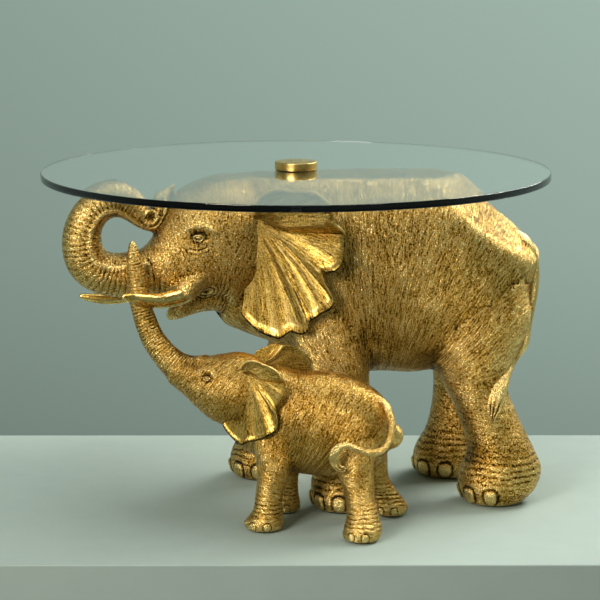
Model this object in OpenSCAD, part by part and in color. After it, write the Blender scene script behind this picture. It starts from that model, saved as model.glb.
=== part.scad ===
// Round glass table on a cast cow elephant with her calf. Millimetres, +Z up, origin on the
// floor under the middle of the glass. The cow faces -X; her left side is towards -Y.

/* [Glass top] */
// Diameter of the glass disc
glass_d = 600; // [560:5:640]
// Thickness of the glass
glass_t = 8; // [6:1:10]
// Height of the glass's upper face above the floor
table_h = 385; // [385:1:387]

/* [Centre fixing] */
// Diameter of the screw cap
cap_d = 50; // [44:1:60]
// Height of the screw cap above its gasket
cap_h = 9; // [8:0.5:14]
// Nominal diameter of the threaded stud
stud_d = 8; // [6:1:8]
// Turns from tight to the end of the thread
cap_turns = 6; // [3:1:8]
// Radial running clearance of every part that turns
run_gap = 0.06; // [0.03:0.01:0.1]

/* [Castings] */
// Wall of the hollow castings
wall = 9; // [7:0.5:10]
// Thickness of the felt under each foot
pad_t = 2; // [1.5:0.5:3]
// Thickness of the clear bumpers under the glass
bumper_t = 2; // [1.5:0.5:2]
// Angle that the cow's head is turned towards her left
head_turn = 25; // [24:1:26]

/* [Hidden] */
gold = [0.72, 0.55, 0.22];
bright_gold = [0.88, 0.70, 0.32];
brass = [0.85, 0.65, 0.28];
clear = [0.80, 0.88, 0.84, 0.35];
felt = [0.16, 0.14, 0.12];
steel = [0.60, 0.61, 0.62];
oak = [0.62, 0.46, 0.28];

gasket_t = 0.8;
gasket_z = table_h;
cap_z = gasket_z + gasket_t;
glass_z = table_h - glass_t;
back_z = glass_z - bumper_t;
stud_r = stud_d / 2;
insert_r = stud_r + 2;
hole_r = stud_r + 4;
stud_top = cap_z + cap_h - 2;
insert_h = 20;
block_h = 20;
block_r = 18;
skin_t = 8;
dowel_r = 4;
pin_r = 2;
plug_r = 12;
bush_r = 7;
bumper_r = 6;
pad_cow_r = 28;
pad_calf_r = 13;
ear_cow_t = 5;
ear_calf_t = 4;
big = 1000;

// ---- Places ----

neck_point = [-40, -8, 0];
neck_dowels = [[-40, -26, 322], [-40, -2, 268]];
calf_neck_point = [-44, -151, 0];
calf_neck_dowel_at = [-44, -151, 146];
calf_turn = -14;
plug_at = [120, -5, 148];
trunk_pin_at = [-186, -105, 274];
mother_feet = [[56, -99], [-40, 56], [233, -67], [188, 67]];
calf_feet = [[-36, -196], [-14, -116], [73, -242], [109, -131]];
bumpers = [[-211, -74], [-24, -18], [125, -32], [125, 24]];

// ---- Stations. Each is [centre, side radius, upper radius, lower radius]. On a leg the ----
// ---- upper radius is the front one and the lower radius the rear one.                  ----

// Cow's body, from the neck to the rump
torso = [
    [[-92, -6, 312], 40, 58, 55],
    [[-60, -10, 306], 54, 78, 72],
    [[-25, -14, 294], 66, 96, 92],
    [[15, -15, 280], 76, 112, 106],
    [[60, -12, 270], 84, 118, 118],
    [[110, -7, 266], 90, 120, 119],
    [[160, -3, 266], 90, 118, 118],
    [[200, 0, 262], 84, 106, 106],
    [[232, 0, 256], 72, 88, 92],
    [[256, 0, 250], 52, 68, 70],
    [[274, 0, 246], 24, 40, 40]];

leg_rear_left = [
    [[196, -40, 262], 40, 70, 62],
    [[200, -46, 215], 44, 64, 58],
    [[205, -54, 170], 42, 46, 44],
    [[210, -59, 138], 38, 37, 38],
    [[224, -63, 104], 36, 34, 36],
    [[239, -66, 64], 38, 38, 41],
    [[240, -67, 42], 42, 48, 48],
    [[237, -67, 20], 44, 47, 47],
    [[233, -67, pad_t], 36, 35, 34]];

leg_rear_right = [
    [[196, 40, 262], 40, 66, 62],
    [[199, 46, 215], 44, 58, 54],
    [[201, 54, 170], 41, 43, 43],
    [[202, 60, 132], 37, 36, 37],
    [[203, 64, 98], 36, 36, 36],
    [[198, 66, 60], 38, 39, 40],
    [[191, 67, 34], 42, 46, 46],
    [[188, 67, 14], 43, 45, 46],
    [[188, 67, pad_t], 37, 38, 38]];

leg_front_left = [
    [[26, -50, 275], 34, 56, 50],
    [[34, -62, 225], 36, 50, 48],
    [[42, -72, 180], 36, 40, 42],
    [[50, -80, 140], 34, 35, 36],
    [[54, -88, 98], 33, 33, 34],
    [[56, -94, 60], 35, 35, 36],
    [[56, -98, 32], 39, 39, 39],
    [[56, -99, 14], 40, 40, 40],
    [[56, -99, pad_t], 34, 34, 34]];

leg_front_right = [
    [[24, 22, 275], 34, 56, 50],
    [[16, 32, 225], 36, 48, 48],
    [[6, 40, 180], 36, 38, 42],
    [[-8, 46, 140], 34, 34, 36],
    [[-22, 50, 98], 33, 33, 34],
    [[-33, 54, 60], 35, 35, 36],
    [[-39, 56, 32], 39, 40, 40],
    [[-40, 56, 14], 40, 41, 41],
    [[-40, 56, pad_t], 34, 35, 35]];

// Skull and cheeks, along the way the head points
skull = [
    [[-20, 0, 312], 44, 56, 70],
    [[-52, -14, 310], 58, 66, 88],
    [[-82, -28, 306], 62, 71, 86],
    [[-108, -40, 302], 58, 66, 80],
    [[-130, -50, 292], 50, 54, 68],
    [[-150, -57, 282], 38, 38, 44],
    [[-168, -61, 276], 30, 28, 28]];

lower_jaw = [
    [[-88, -30, 252], 34, 26, 30],
    [[-112, -41, 241], 26, 18, 17],
    [[-132, -50, 228], 17, 11, 11],
    [[-147, -57, 218], 10, 7, 7],
    [[-153, -60, 214], 4, 3, 3]];

// The trunk curls up and back over the brow; upper is the inner side of the curl
cow_trunk = [
    [[-138, -50, 280], 36, 34, 38],
    [[-162, -58, 275], 32, 29, 31],
    [[-188, -66, 272], 29, 26, 28],
    [[-216, -74, 273], 27, 25, 26],
    [[-238, -81, 285], 25, 24, 25],
    [[-246, -84, 308], 24, 23, 24],
    [[-243, -84, 332], 23, 21, 22],
    [[-230, -80, 351], 22, 20, 20],
    [[-210, -74, 359], 20, 19, 19],
    [[-192, -68, 349], 17, 16, 16],
    [[-178, -63, 334], 15, 13, 13],
    [[-164, -58, 325], 13, 12, 12],
    [[-153, -54, 330], 12, 11, 11],
    [[-149, -52, 344], 11, 10, 10],
    [[-149, -51, 357], 8, 7, 7]];

tusk_left = [
    [[-118, -88, 262], 10, 9, 9],
    [[-132, -99, 257], 9, 8.5, 8.5],
    [[-148, -110, 254], 8, 8, 8],
    [[-164, -120, 253], 7.5, 7.5, 7.5],
    [[-178, -128, 254], 6.5, 6.5, 6.5],
    [[-188, -133, 256], 5, 5, 5],
    [[-195, -136, 258], 2, 2, 2]];

tusk_right = [
    [[-150, -18, 250], 10, 9, 9],
    [[-166, -25, 246], 9, 8.5, 8.5],
    [[-184, -31, 242], 8, 8, 8],
    [[-204, -37, 239], 7.5, 7.5, 7.5],
    [[-224, -42, 238], 6.5, 6.5, 6.5],
    [[-242, -45, 240], 5, 5, 5],
    [[-252, -47, 242], 2, 2, 2]];

cow_tail = [
    [[258, -2, 306], 7, 7, 7],
    [[272, -4, 298], 7, 7, 7],
    [[281, -7, 278], 6.5, 6.5, 6.5],
    [[282, -11, 254], 6.5, 6.5, 6.5],
    [[279, -18, 228], 6, 6, 6],
    [[274, -28, 206], 6, 6, 6],
    [[266, -40, 186], 6, 6, 6],
    [[255, -56, 170], 6, 6, 6],
    [[244, -72, 156], 6, 8, 8],
    [[236, -88, 139], 6, 10, 10],
    [[230, -97, 120], 5, 8, 8],
    [[228, -100, 106], 2, 3, 3]];

calf_torso = [
    [[-58, -150, 145], 26, 42, 44],
    [[-38, -153, 133], 34, 51, 52],
    [[-10, -158, 124], 41, 53, 61],
    [[25, -165, 118], 45, 59, 61],
    [[58, -172, 114], 44, 56, 56],
    [[84, -178, 110], 38, 46, 46],
    [[99, -182, 108], 26, 32, 34],
    [[107, -184, 107], 12, 15, 16]];

calf_leg_front_left = [
    [[-20, -172, 112], 22, 32, 32],
    [[-24, -182, 88], 21, 23, 23],
    [[-26, -189, 64], 18, 18, 19],
    [[-30, -193, 42], 16, 16, 16],
    [[-32, -195, 24], 17, 17, 17],
    [[-36, -196, 10], 21, 22, 22],
    [[-36, -196, pad_t], 18, 19, 19]];

calf_leg_front_right = [
    [[-16, -138, 112], 20, 28, 30],
    [[-14, -130, 88], 20, 21, 21],
    [[-12, -124, 64], 17, 18, 18],
    [[-12, -119, 42], 15, 15, 15],
    [[-13, -116, 24], 16, 16, 16],
    [[-14, -116, 10], 19, 19, 19],
    [[-14, -116, pad_t], 16, 17, 17]];

calf_leg_rear_left = [
    [[66, -192, 112], 24, 36, 34],
    [[66, -207, 90], 23, 24, 23],
    [[67, -218, 70], 20, 20, 20],
    [[71, -228, 48], 17, 17, 17],
    [[74, -236, 29], 18, 18, 18],
    [[74, -241, 12], 21, 22, 22],
    [[73, -242, pad_t], 18, 19, 19]];

calf_leg_rear_right = [
    [[80, -164, 108], 22, 32, 26],
    [[83, -152, 88], 21, 24, 21],
    [[87, -143, 66], 18, 18, 18],
    [[92, -137, 46], 15, 15, 15],
    [[101, -133, 28], 16, 16, 17],
    [[109, -131, 11], 19, 20, 20],
    [[109, -131, pad_t], 16, 17, 17]];

calf_skull = [
    [[-40, -150, 146], 28, 36, 46],
    [[-58, -148, 149], 36, 44, 43],
    [[-80, -144, 153], 39, 43, 41],
    [[-100, -139, 159], 35, 34, 33],
    [[-117, -134, 165], 27, 23, 25],
    [[-130, -130, 170], 21, 18, 21]];

calf_jaw = [
    [[-84, -142, 131], 20, 16, 15],
    [[-104, -136, 137], 14, 10, 10],
    [[-122, -131, 146], 8, 6, 5],
    [[-134, -128, 149], 3, 2.5, 2.5]];

calf_trunk = [
    [[-108, -136, 167], 27, 24, 24],
    [[-124, -131, 171], 21, 18, 20],
    [[-139, -126, 178], 18, 16, 18],
    [[-153, -120, 190], 15, 15, 15],
    [[-164, -115, 205], 14, 14, 14],
    [[-172, -111, 223], 13, 13, 13],
    [[-178, -108, 243], 12, 12, 12],
    [[-182, -107, 262], 11, 11, 11],
    [[-186, -107, 284], 8, 8, 8],
    [[-188, -108, 304], 5, 5, 5],
    [[-189, -109, 318], 2, 2, 2]];

calf_tail_line = [
    [[88, -186, 150], 5, 5, 5],
    [[100, -192, 144], 5, 5, 5],
    [[107, -202, 127], 5, 5, 5],
    [[104, -216, 109], 4.5, 4.5, 4.5],
    [[94, -230, 100], 4.5, 4.5, 4.5],
    [[79, -239, 100], 4.5, 4.5, 4.5],
    [[64, -242, 105], 4.5, 4.5, 4.5],
    [[54, -242, 107], 5, 5, 6],
    [[49, -241, 100], 4.5, 6, 7],
    [[47, -240, 91], 2, 3, 3]];

// Ear outlines in the ear's own plane, X backwards and Y up from the top of the root
cow_ear = [[0, 0], [9, 14], [28, 25], [38, 30], [67, 31], [92, 31], [104, 24], [113, 14],
    [116, 2], [122, -6], [125, -18], [125, -31], [121, -45], [114, -53], [101, -54],
    [97, -60], [101, -69], [107, -78], [111, -88], [107, -97], [97, -102], [83, -110],
    [81, -125], [71, -128], [56, -126], [52, -131], [43, -136], [29, -133], [13, -125],
    [1, -116], [-4, -108], [-1, -97], [6, -80], [12, -67], [10, -52], [8, -26]];
calf_ear = [[0, 0], [-3, 12], [8, 22], [30, 22], [44, 16], [52, -4], [47, -17], [39, -29],
    [44, -44], [39, -53], [24, -64], [5, -70], [-5, -75], [-17, -70], [-26, -59],
    [-17, -46], [-6, -22]];

// ---- Geometry helpers ----

function unit(v) = v / norm(v);

// Catmull-Rom value at t between p1 and p2
function spline(p0, p1, p2, p3, t) =
    0.5 * (2 * p1 + (p2 - p0) * t + (2 * p0 - 5 * p1 + 4 * p2 - p3) * t * t
        + (3 * p1 - p0 - 3 * p2 + p3) * t * t * t);

function flat(s) = [s[0][0], s[0][1], s[0][2], s[1], s[2], s[3]];

// Stations with k steps between each pair, as [x, y, z, side, upper, lower]
function dense(s, k = 2) =
    let (p = [for (q = s) flat(q)], n = len(p))
    [for (i = [0:n - 2]) for (j = [0:k - 1])
        spline(p[max(i - 1, 0)], p[i], p[i + 1], p[min(i + 2, n - 1)], j / k), p[n - 1]];

function at(p) = [p[0], p[1], p[2]];

function tangent(p, i) = unit(at(p[min(i + 1, len(p) - 1)]) - at(p[max(i - 1, 0)]));

// Ring of points round station i: square to the line, or level when it is a leg
function ring(p, i, side, n, grow, level) =
    let (t = level ? [0, 0, -1] : tangent(p, i),
        u = unit(side - t * (side * t)),
        v = cross(u, t))
    [for (j = [0:n - 1]) let (a = 360 * j / n, r = sin(a) > 0 ? p[i][4] : p[i][5])
        at(p[i]) + u * (p[i][3] + grow) * cos(a) + v * (r + grow) * sin(a)];

// Closed solid through the stations. A line that runs towards +X takes side = -Y, and one
// that runs towards -X takes side = +Y, so that the upper radius is the one on top.
module sweep(stations, side = [0, 1, 0], n = 16, k = 2, grow = 0, level = false) {
    p = dense(stations, k);
    m = len(p);
    walls = [for (i = [0:m - 2]) for (j = [0:n - 1]) let (q = (j + 1) % n)
        each [[i * n + j, i * n + q, (i + 1) * n + q],
            [i * n + j, (i + 1) * n + q, (i + 1) * n + j]]];
    first = [for (j = [n - 1:-1:0]) j];
    last = [for (j = [0:n - 1]) (m - 1) * n + j];
    polyhedron(points = [for (i = [0:m - 1]) each ring(p, i, side, n, grow, level)],
        faces = concat(walls, [first, last]), convexity = 6);
}

// Half space beyond a neck joint, on the head's side
module beyond(point, turn) {
    translate(point)
        rotate(turn)
            translate([-big, -big / 2, -big / 2])
                cube(big);
}

module cow_head_side(back = 0) {
    beyond(neck_point + [back, 0, 0], head_turn);
}

module calf_head_side() {
    beyond(calf_neck_point, calf_turn);
}

module above(z) {
    translate([-big / 2, -big / 2, z])
        cube(big);
}

// Rod of radius r and length h, centred at p and pointing square to a neck joint
module dowel(p, turn, r, h) {
    translate(p)
        rotate(turn)
            rotate([0, 90, 0])
                cylinder(r = r, h = h, center = true, $fn = 32);
}

module disc(p, z, r, h) {
    translate([p[0], p[1], z])
        cylinder(r = r, h = h, $fn = 64);
}

// ---- Cow ----

module cow_tail_solid() {
    sweep(cow_tail, side = [0, 1, 0], n = 10);
}

module cow_tusk(stations) {
    sweep(stations, n = 12);
}

// Ear plate with its root at point p, running back at the given turn
module cow_ear_plate(p, turn) {
    translate(p)
        rotate([90, 0, turn])
            linear_extrude(height = ear_cow_t, center = true)
                polygon(cow_ear);
}

module cow_ear_left() {
    cow_ear_plate([-57, -70, 338], -22.5);
}

module cow_ear_right() {
    cow_ear_plate([-90, 24, 326], 55);
}

module neck_dowel_pair() {
    for (p = neck_dowels)
        dowel(p, head_turn, dowel_r, 40);
}

// Space inside the body casting, a wall's thickness in from the skin
module cow_cavity() {
    inner = [for (i = [1:len(torso) - 2]) torso[i]];
    difference() {
        sweep(inner, side = [0, -1, 0], n = 24, grow = -wall);
        above(back_z - skin_t);
        cow_head_side(back = 12);
        disc([0, 0], back_z - skin_t - block_h - 6, block_r + 6, block_h + 10);
    }
}

module mother_body() {
    color(gold)
        difference() {
            union() {
                sweep(torso, side = [0, -1, 0], n = 24);
                for (leg = [leg_rear_left, leg_rear_right, leg_front_left, leg_front_right])
                    sweep(leg, level = true);
            }
            above(back_z);
            cow_head_side();
            cow_cavity();
            cow_tail_solid();
            neck_dowel_pair();
            disc([0, 0], back_z - skin_t - block_h, block_r, block_h);
            disc([0, 0], back_z - skin_t - block_h - 10, hole_r, 40);
            disc(plug_at, plug_at[2] - 12, plug_r, 40);
        }
}

module mother_head() {
    color(gold)
        difference() {
            union() {
                intersection() {
                    union() {
                        sweep(skull, n = 24);
                        sweep(torso, side = [0, -1, 0], n = 24);
                    }
                    cow_head_side();
                }
                sweep(lower_jaw, n = 12);
                sweep(cow_trunk, n = 16);
            }
            above(back_z);
            cow_ear_left();
            cow_ear_right();
            cow_tusk(tusk_left);
            cow_tusk(tusk_right);
            neck_dowel_pair();
            dowel(trunk_pin_at, 90, pin_r, 24);
        }
}

module mother_ear_left() {
    color(gold) cow_ear_left();
}

module mother_ear_right() {
    color(gold) cow_ear_right();
}

module mother_tusk_left() {
    color(bright_gold) cow_tusk(tusk_left);
}

module mother_tusk_right() {
    color(bright_gold) cow_tusk(tusk_right);
}

module mother_tail() {
    color(gold) cow_tail_solid();
}

module mother_neck_dowels() {
    color(steel) neck_dowel_pair();
}

module mother_belly_plug() {
    color(felt)
        disc(plug_at, plug_at[2] - 0.5, plug_r, 8);
}

// ---- Calf ----

module calf_ear_plate(p, turn) {
    translate(p)
        rotate([90, 0, turn])
            linear_extrude(height = ear_calf_t, center = true)
                polygon(calf_ear);
}

module calf_ear_near() {
    calf_ear_plate([-55, -180, 172], -30);
}

module calf_ear_far() {
    calf_ear_plate([-42, -122, 174], 14);
}

module calf_neck_pin() {
    dowel(calf_neck_dowel_at, calf_turn, dowel_r, 30);
}

module calf_tail_solid() {
    sweep(calf_tail_line, side = [0, 1, 0], n = 8);
}

module calf_body() {
    color(gold)
        difference() {
            union() {
                sweep(calf_torso, side = [0, -1, 0], n = 20);
                for (leg = [calf_leg_front_left, calf_leg_front_right, calf_leg_rear_left,
                        calf_leg_rear_right])
                    sweep(leg, n = 14, level = true);
            }
            calf_head_side();
            calf_ear_near();
            calf_ear_far();
            calf_tail_solid();
            calf_neck_pin();
        }
}

module calf_head() {
    color(gold)
        difference() {
            union() {
                intersection() {
                    union() {
                        sweep(calf_skull, n = 20);
                        sweep(calf_torso, side = [0, -1, 0], n = 20);
                    }
                    calf_head_side();
                }
                sweep(calf_jaw, n = 12);
                sweep(calf_trunk, n = 14);
            }
            calf_ear_near();
            calf_ear_far();
            calf_neck_pin();
            dowel(trunk_pin_at, 90, pin_r, 24);
        }
}

module calf_ear_left() {
    color(gold) calf_ear_near();
}

module calf_ear_right() {
    color(gold) calf_ear_far();
}

module calf_tail() {
    color(gold) calf_tail_solid();
}

module calf_neck_dowel() {
    color(steel) calf_neck_pin();
}

module trunk_pin() {
    color(steel) dowel(trunk_pin_at, 90, pin_r, 24);
}

// ---- Centre fixing ----

module back_block() {
    color(oak)
        difference() {
            disc([0, 0], back_z - skin_t - block_h, block_r, block_h);
            disc([0, 0], back_z - skin_t - block_h - 1, insert_r, block_h + 2);
        }
}

module threaded_insert() {
    color(brass)
        difference() {
            disc([0, 0], back_z - skin_t - insert_h, insert_r, insert_h);
            disc([0, 0], back_z - skin_t - insert_h - 1, stud_r, insert_h + 2);
        }
}

module stud() {
    color(steel)
        disc([0, 0], back_z - skin_t - insert_h, stud_r, stud_top - back_z + skin_t + insert_h);
}

module glass_bush() {
    color(clear)
        difference() {
            disc([0, 0], glass_z, bush_r, glass_t);
            disc([0, 0], glass_z - 1, stud_r + run_gap, glass_t + 2);
        }
}

module cap_gasket() {
    color(felt)
        difference() {
            disc([0, 0], gasket_z, cap_d / 2 - 1, gasket_t);
            disc([0, 0], gasket_z - 1, stud_r + run_gap, gasket_t + 2);
        }
}

module cap() {
    edge = 0.6;
    color(brass)
        translate([0, 0, cap_z])
            rotate_extrude($fn = 96)
                polygon([[stud_r + run_gap, 0], [cap_d / 2 - edge, 0], [cap_d / 2, edge],
                    [cap_d / 2, cap_h - edge], [cap_d / 2 - edge, cap_h], [0, cap_h],
                    [0, cap_h - 1.5], [stud_r + run_gap, cap_h - 1.5]]);
}

// ---- Glass, bumpers and felt pads ----

module glass_top() {
    rim = glass_t / 2;
    color(clear)
        translate([0, 0, glass_z])
            rotate_extrude($fn = 180)
                difference() {
                    union() {
                        translate([bush_r, 0])
                            square([glass_d / 2 - rim - bush_r, glass_t]);
                        translate([glass_d / 2 - rim, rim])
                            circle(r = rim, $fn = 32);
                    }
                    translate([-big, -big / 2])
                        square([big + bush_r, big]);
                }
}

module bumper(i) {
    color(clear) disc(bumpers[i], back_z, bumper_r, bumper_t);
}

module bumper_trunk() bumper(0);
module bumper_shoulder() bumper(1);
module bumper_flank_left() bumper(2);
module bumper_flank_right() bumper(3);

module pad(p, r) {
    color(felt) disc(p, 0, r, pad_t);
}

module pad_mother_front_left() pad(mother_feet[0], pad_cow_r);
module pad_mother_front_right() pad(mother_feet[1], pad_cow_r);
module pad_mother_rear_left() pad(mother_feet[2], pad_cow_r);
module pad_mother_rear_right() pad(mother_feet[3], pad_cow_r);
module pad_calf_front_left() pad(calf_feet[0], pad_calf_r);
module pad_calf_front_right() pad(calf_feet[1], pad_calf_r);
module pad_calf_rear_left() pad(calf_feet[2], pad_calf_r);
module pad_calf_rear_right() pad(calf_feet[3], pad_calf_r);

mother_body();
mother_head();
mother_ear_left();
mother_ear_right();
mother_tusk_left();
mother_tusk_right();
mother_tail();
mother_neck_dowels();
calf_body();
calf_head();
calf_ear_left();
calf_ear_right();
calf_tail();
calf_neck_dowel();
trunk_pin();
mother_belly_plug();
back_block();
threaded_insert();
stud();
bumper_trunk();
bumper_shoulder();
bumper_flank_left();
bumper_flank_right();
glass_top();
glass_bush();
cap_gasket();
cap();
pad_mother_front_left();
pad_mother_front_right();
pad_mother_rear_left();
pad_mother_rear_right();
pad_calf_front_left();
pad_calf_front_right();
pad_calf_rear_left();
pad_calf_rear_right();
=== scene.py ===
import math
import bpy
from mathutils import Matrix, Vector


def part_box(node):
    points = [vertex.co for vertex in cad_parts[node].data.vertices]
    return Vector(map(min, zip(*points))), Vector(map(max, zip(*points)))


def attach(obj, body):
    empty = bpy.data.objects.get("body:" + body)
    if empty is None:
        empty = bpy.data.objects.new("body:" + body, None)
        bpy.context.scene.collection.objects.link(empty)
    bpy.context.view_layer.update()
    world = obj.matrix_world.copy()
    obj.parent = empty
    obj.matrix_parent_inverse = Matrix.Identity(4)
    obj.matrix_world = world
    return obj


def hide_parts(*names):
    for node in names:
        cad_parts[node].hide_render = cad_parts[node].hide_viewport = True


bl_info = {
    "name": "Elephant and Calf Glass Table",
    "version": (1, 0, 0),
    "blender": (4, 5, 0),
    "location": "View3D > Sidebar > Elephant Table",
    "description": "Builds a round glass table carried by a cast cow elephant and her calf",
    "category": "Add Mesh",
}

import bmesh
import bpy
import numpy as np
from mathutils import Matrix, Vector, noise

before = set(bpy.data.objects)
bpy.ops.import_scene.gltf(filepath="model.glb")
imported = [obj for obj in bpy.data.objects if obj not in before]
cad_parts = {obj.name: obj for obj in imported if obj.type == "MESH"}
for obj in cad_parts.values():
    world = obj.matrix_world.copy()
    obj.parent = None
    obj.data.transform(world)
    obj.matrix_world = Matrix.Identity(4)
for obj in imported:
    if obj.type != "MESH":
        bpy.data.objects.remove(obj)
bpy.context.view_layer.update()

MM = 0.001
LEGS = 4                # limbs 1 to 4 of an animal are its legs, and limb 0 its torso
LIMB_GAP = 41.0         # keeps the strokes of two limbs from running on into each other
BACK_Z = 375.0          # flat of the cow's back, under the glass
SOLE_Z = 2.0            # soles of the feet, on their felt pads
THREAD_DEPTH = 0.61     # depth of a metric thread, in pitches


# ---------------------------------------------------------------------------
# Lines through the castings, in millimetres: [centre, side, upper, lower radius].
# On a leg the upper radius is the front one and the lower radius the rear one.
# ---------------------------------------------------------------------------

COW_TORSO = [
    [[-92, -6, 312], 40, 58, 75], [[-60, -10, 306], 54, 78, 102], [[-25, -14, 294], 66, 96, 106],
    [[15, -15, 280], 76, 112, 106], [[60, -12, 270], 84, 118, 118], [[110, -7, 266], 90, 120, 119],
    [[160, -3, 266], 90, 120, 118], [[200, 0, 262], 84, 112, 106], [[232, 0, 256], 72, 96, 92],
    [[256, 0, 250], 54, 74, 82], [[276, 0, 243], 28, 42, 56],
]
COW_LEGS = {
    "rear_left": [
        [[198, -40, 262], 30, 66, 72], [[202, -46, 215], 38, 62, 74], [[206, -54, 170], 41, 46, 52],
        [[210, -59, 138], 38, 37, 38], [[224, -63, 104], 36, 34, 36], [[239, -66, 64], 38, 38, 41],
        [[240, -67, 42], 42, 47, 48], [[237, -67, 20], 44, 47, 47], [[233, -67, 2], 36, 35, 34]],
    "rear_right": [
        [[196, 40, 262], 30, 62, 64], [[199, 46, 215], 39, 56, 56], [[201, 54, 170], 41, 43, 43],
        [[202, 60, 132], 37, 36, 37], [[203, 64, 98], 36, 36, 36], [[198, 66, 60], 38, 39, 40],
        [[191, 67, 34], 42, 46, 46], [[188, 67, 14], 43, 45, 46], [[188, 67, 2], 37, 38, 38]],
    "front_left": [
        [[26, -50, 275], 34, 56, 50], [[34, -62, 225], 36, 50, 48], [[42, -72, 180], 36, 40, 42],
        [[50, -80, 140], 34, 35, 36], [[54, -88, 98], 33, 33, 34], [[56, -94, 60], 35, 35, 36],
        [[56, -98, 32], 39, 39, 39], [[56, -99, 14], 40, 40, 40], [[56, -99, 2], 34, 34, 34]],
    "front_right": [
        [[24, 22, 275], 34, 56, 50], [[16, 32, 225], 36, 48, 48], [[6, 40, 180], 36, 38, 42],
        [[-8, 46, 140], 34, 34, 36], [[-22, 50, 98], 33, 33, 34], [[-33, 54, 60], 35, 35, 36],
        [[-39, 56, 32], 39, 40, 40], [[-40, 56, 14], 40, 41, 41], [[-40, 56, 2], 34, 35, 35]],
}
COW_SKULL = [
    [[-20, 0, 312], 44, 56, 70], [[-52, -14, 310], 58, 66, 88], [[-82, -28, 306], 60, 71, 86],
    [[-108, -40, 302], 56, 66, 76], [[-130, -50, 292], 48, 54, 58], [[-150, -57, 282], 38, 38, 42],
    [[-168, -61, 276], 30, 28, 28],
]
COW_JAW = [
    [[-82, -28, 248], 34, 26, 33], [[-100, -36, 243], 30, 20, 22], [[-116, -43, 237], 23, 14, 16],
    [[-130, -49, 230], 18, 13, 12], [[-140, -54, 225], 14, 11, 10], [[-145, -57, 222], 9, 7, 7],
]
COW_TRUNK = [
    [[-138, -50, 280], 36, 34, 38], [[-162, -58, 275], 32, 29, 31], [[-188, -66, 272], 29, 26, 28],
    [[-216, -74, 273], 27, 25, 26], [[-238, -81, 285], 25, 24, 25], [[-246, -84, 308], 24, 23, 24],
    [[-243, -84, 332], 23, 21, 22], [[-230, -80, 351], 22, 20, 20], [[-210, -74, 358], 20, 19, 18],
    [[-192, -68, 350], 17, 16, 16], [[-179, -63, 338], 14, 13, 13], [[-168, -59, 332], 12, 12, 12],
    [[-160, -56, 336], 12, 11, 11], [[-157, -55, 345], 12, 11, 11], [[-156, -54, 352], 11, 10, 10],
]
COW_TRUNK_FINGER = [
    [[-156, -54, 348], 7, 6, 6], [[-149, -52, 359], 5, 5, 5], [[-141, -50, 367], 3, 3.5, 3.5],
]
COW_TUSKS = {
    "left": [
        [[-120, -86, 258], 10.5, 10, 10], [[-132, -92, 250.5], 10.5, 10, 10],
        [[-143, -98, 248], 10, 9.8, 9.8], [[-156, -106, 247], 9.3, 9.1, 9.1],
        [[-171, -117, 250], 8.1, 8, 8], [[-184, -128, 254], 6.7, 6.5, 6.5],
        [[-191, -133, 256], 5, 5, 5], [[-195, -136, 257], 3.2, 3.2, 3.2]],
    "right": [
        [[-146, -16, 252], 10, 9, 9], [[-166, -25, 246], 9, 8.5, 8.5], [[-184, -31, 242], 8, 8, 8],
        [[-204, -37, 239], 7.5, 7.5, 7.5], [[-224, -42, 238], 6.5, 6.5, 6.5],
        [[-242, -45, 240], 5, 5, 5], [[-251, -47, 242], 2.8, 2.8, 2.8]],
}
COW_SHEATHS = {
    "left": [
        [[-98, -66, 288], 19, 19, 19], [[-110, -75, 275], 17.5, 17, 17], [[-120, -83, 264], 15.5, 15, 15],
        [[-128, -89, 255], 13.5, 13, 13], [[-133, -92, 251], 12.5, 12, 12]],
    "right": [
        [[-124, -8, 262], 17, 17, 18], [[-138, -13, 256], 15, 15, 16], [[-152, -19, 251], 13, 13, 13],
        [[-162, -23, 248], 11.5, 11, 11.5]],
}
COW_TAIL = [
    [[252, -8, 310], 7, 7, 7], [[269, -14, 302], 7, 7, 7], [[279, -20, 281], 6.5, 6.5, 6.5],
    [[280, -25, 254], 6.5, 6.5, 6.5], [[276, -32, 228], 6, 6, 6], [[271, -41, 206], 6, 6, 6],
    [[267, -52, 186], 6, 6, 6], [[255, -56, 170], 6, 6, 6], [[244, -72, 156], 6, 8, 8],
    [[236, -88, 139], 6, 10, 10], [[230, -97, 120], 5, 8, 8], [[228, -100, 106], 2, 3, 3],
]
CALF_TORSO = [
    [[-58, -150, 145], 26, 42, 44], [[-38, -153, 133], 34, 51, 52], [[-10, -158, 124], 41, 53, 61],
    [[25, -165, 118], 45, 59, 61], [[58, -172, 114], 44, 56, 56], [[84, -178, 110], 38, 46, 46],
    [[99, -182, 108], 26, 32, 34], [[107, -184, 107], 12, 15, 16],
]
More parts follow.
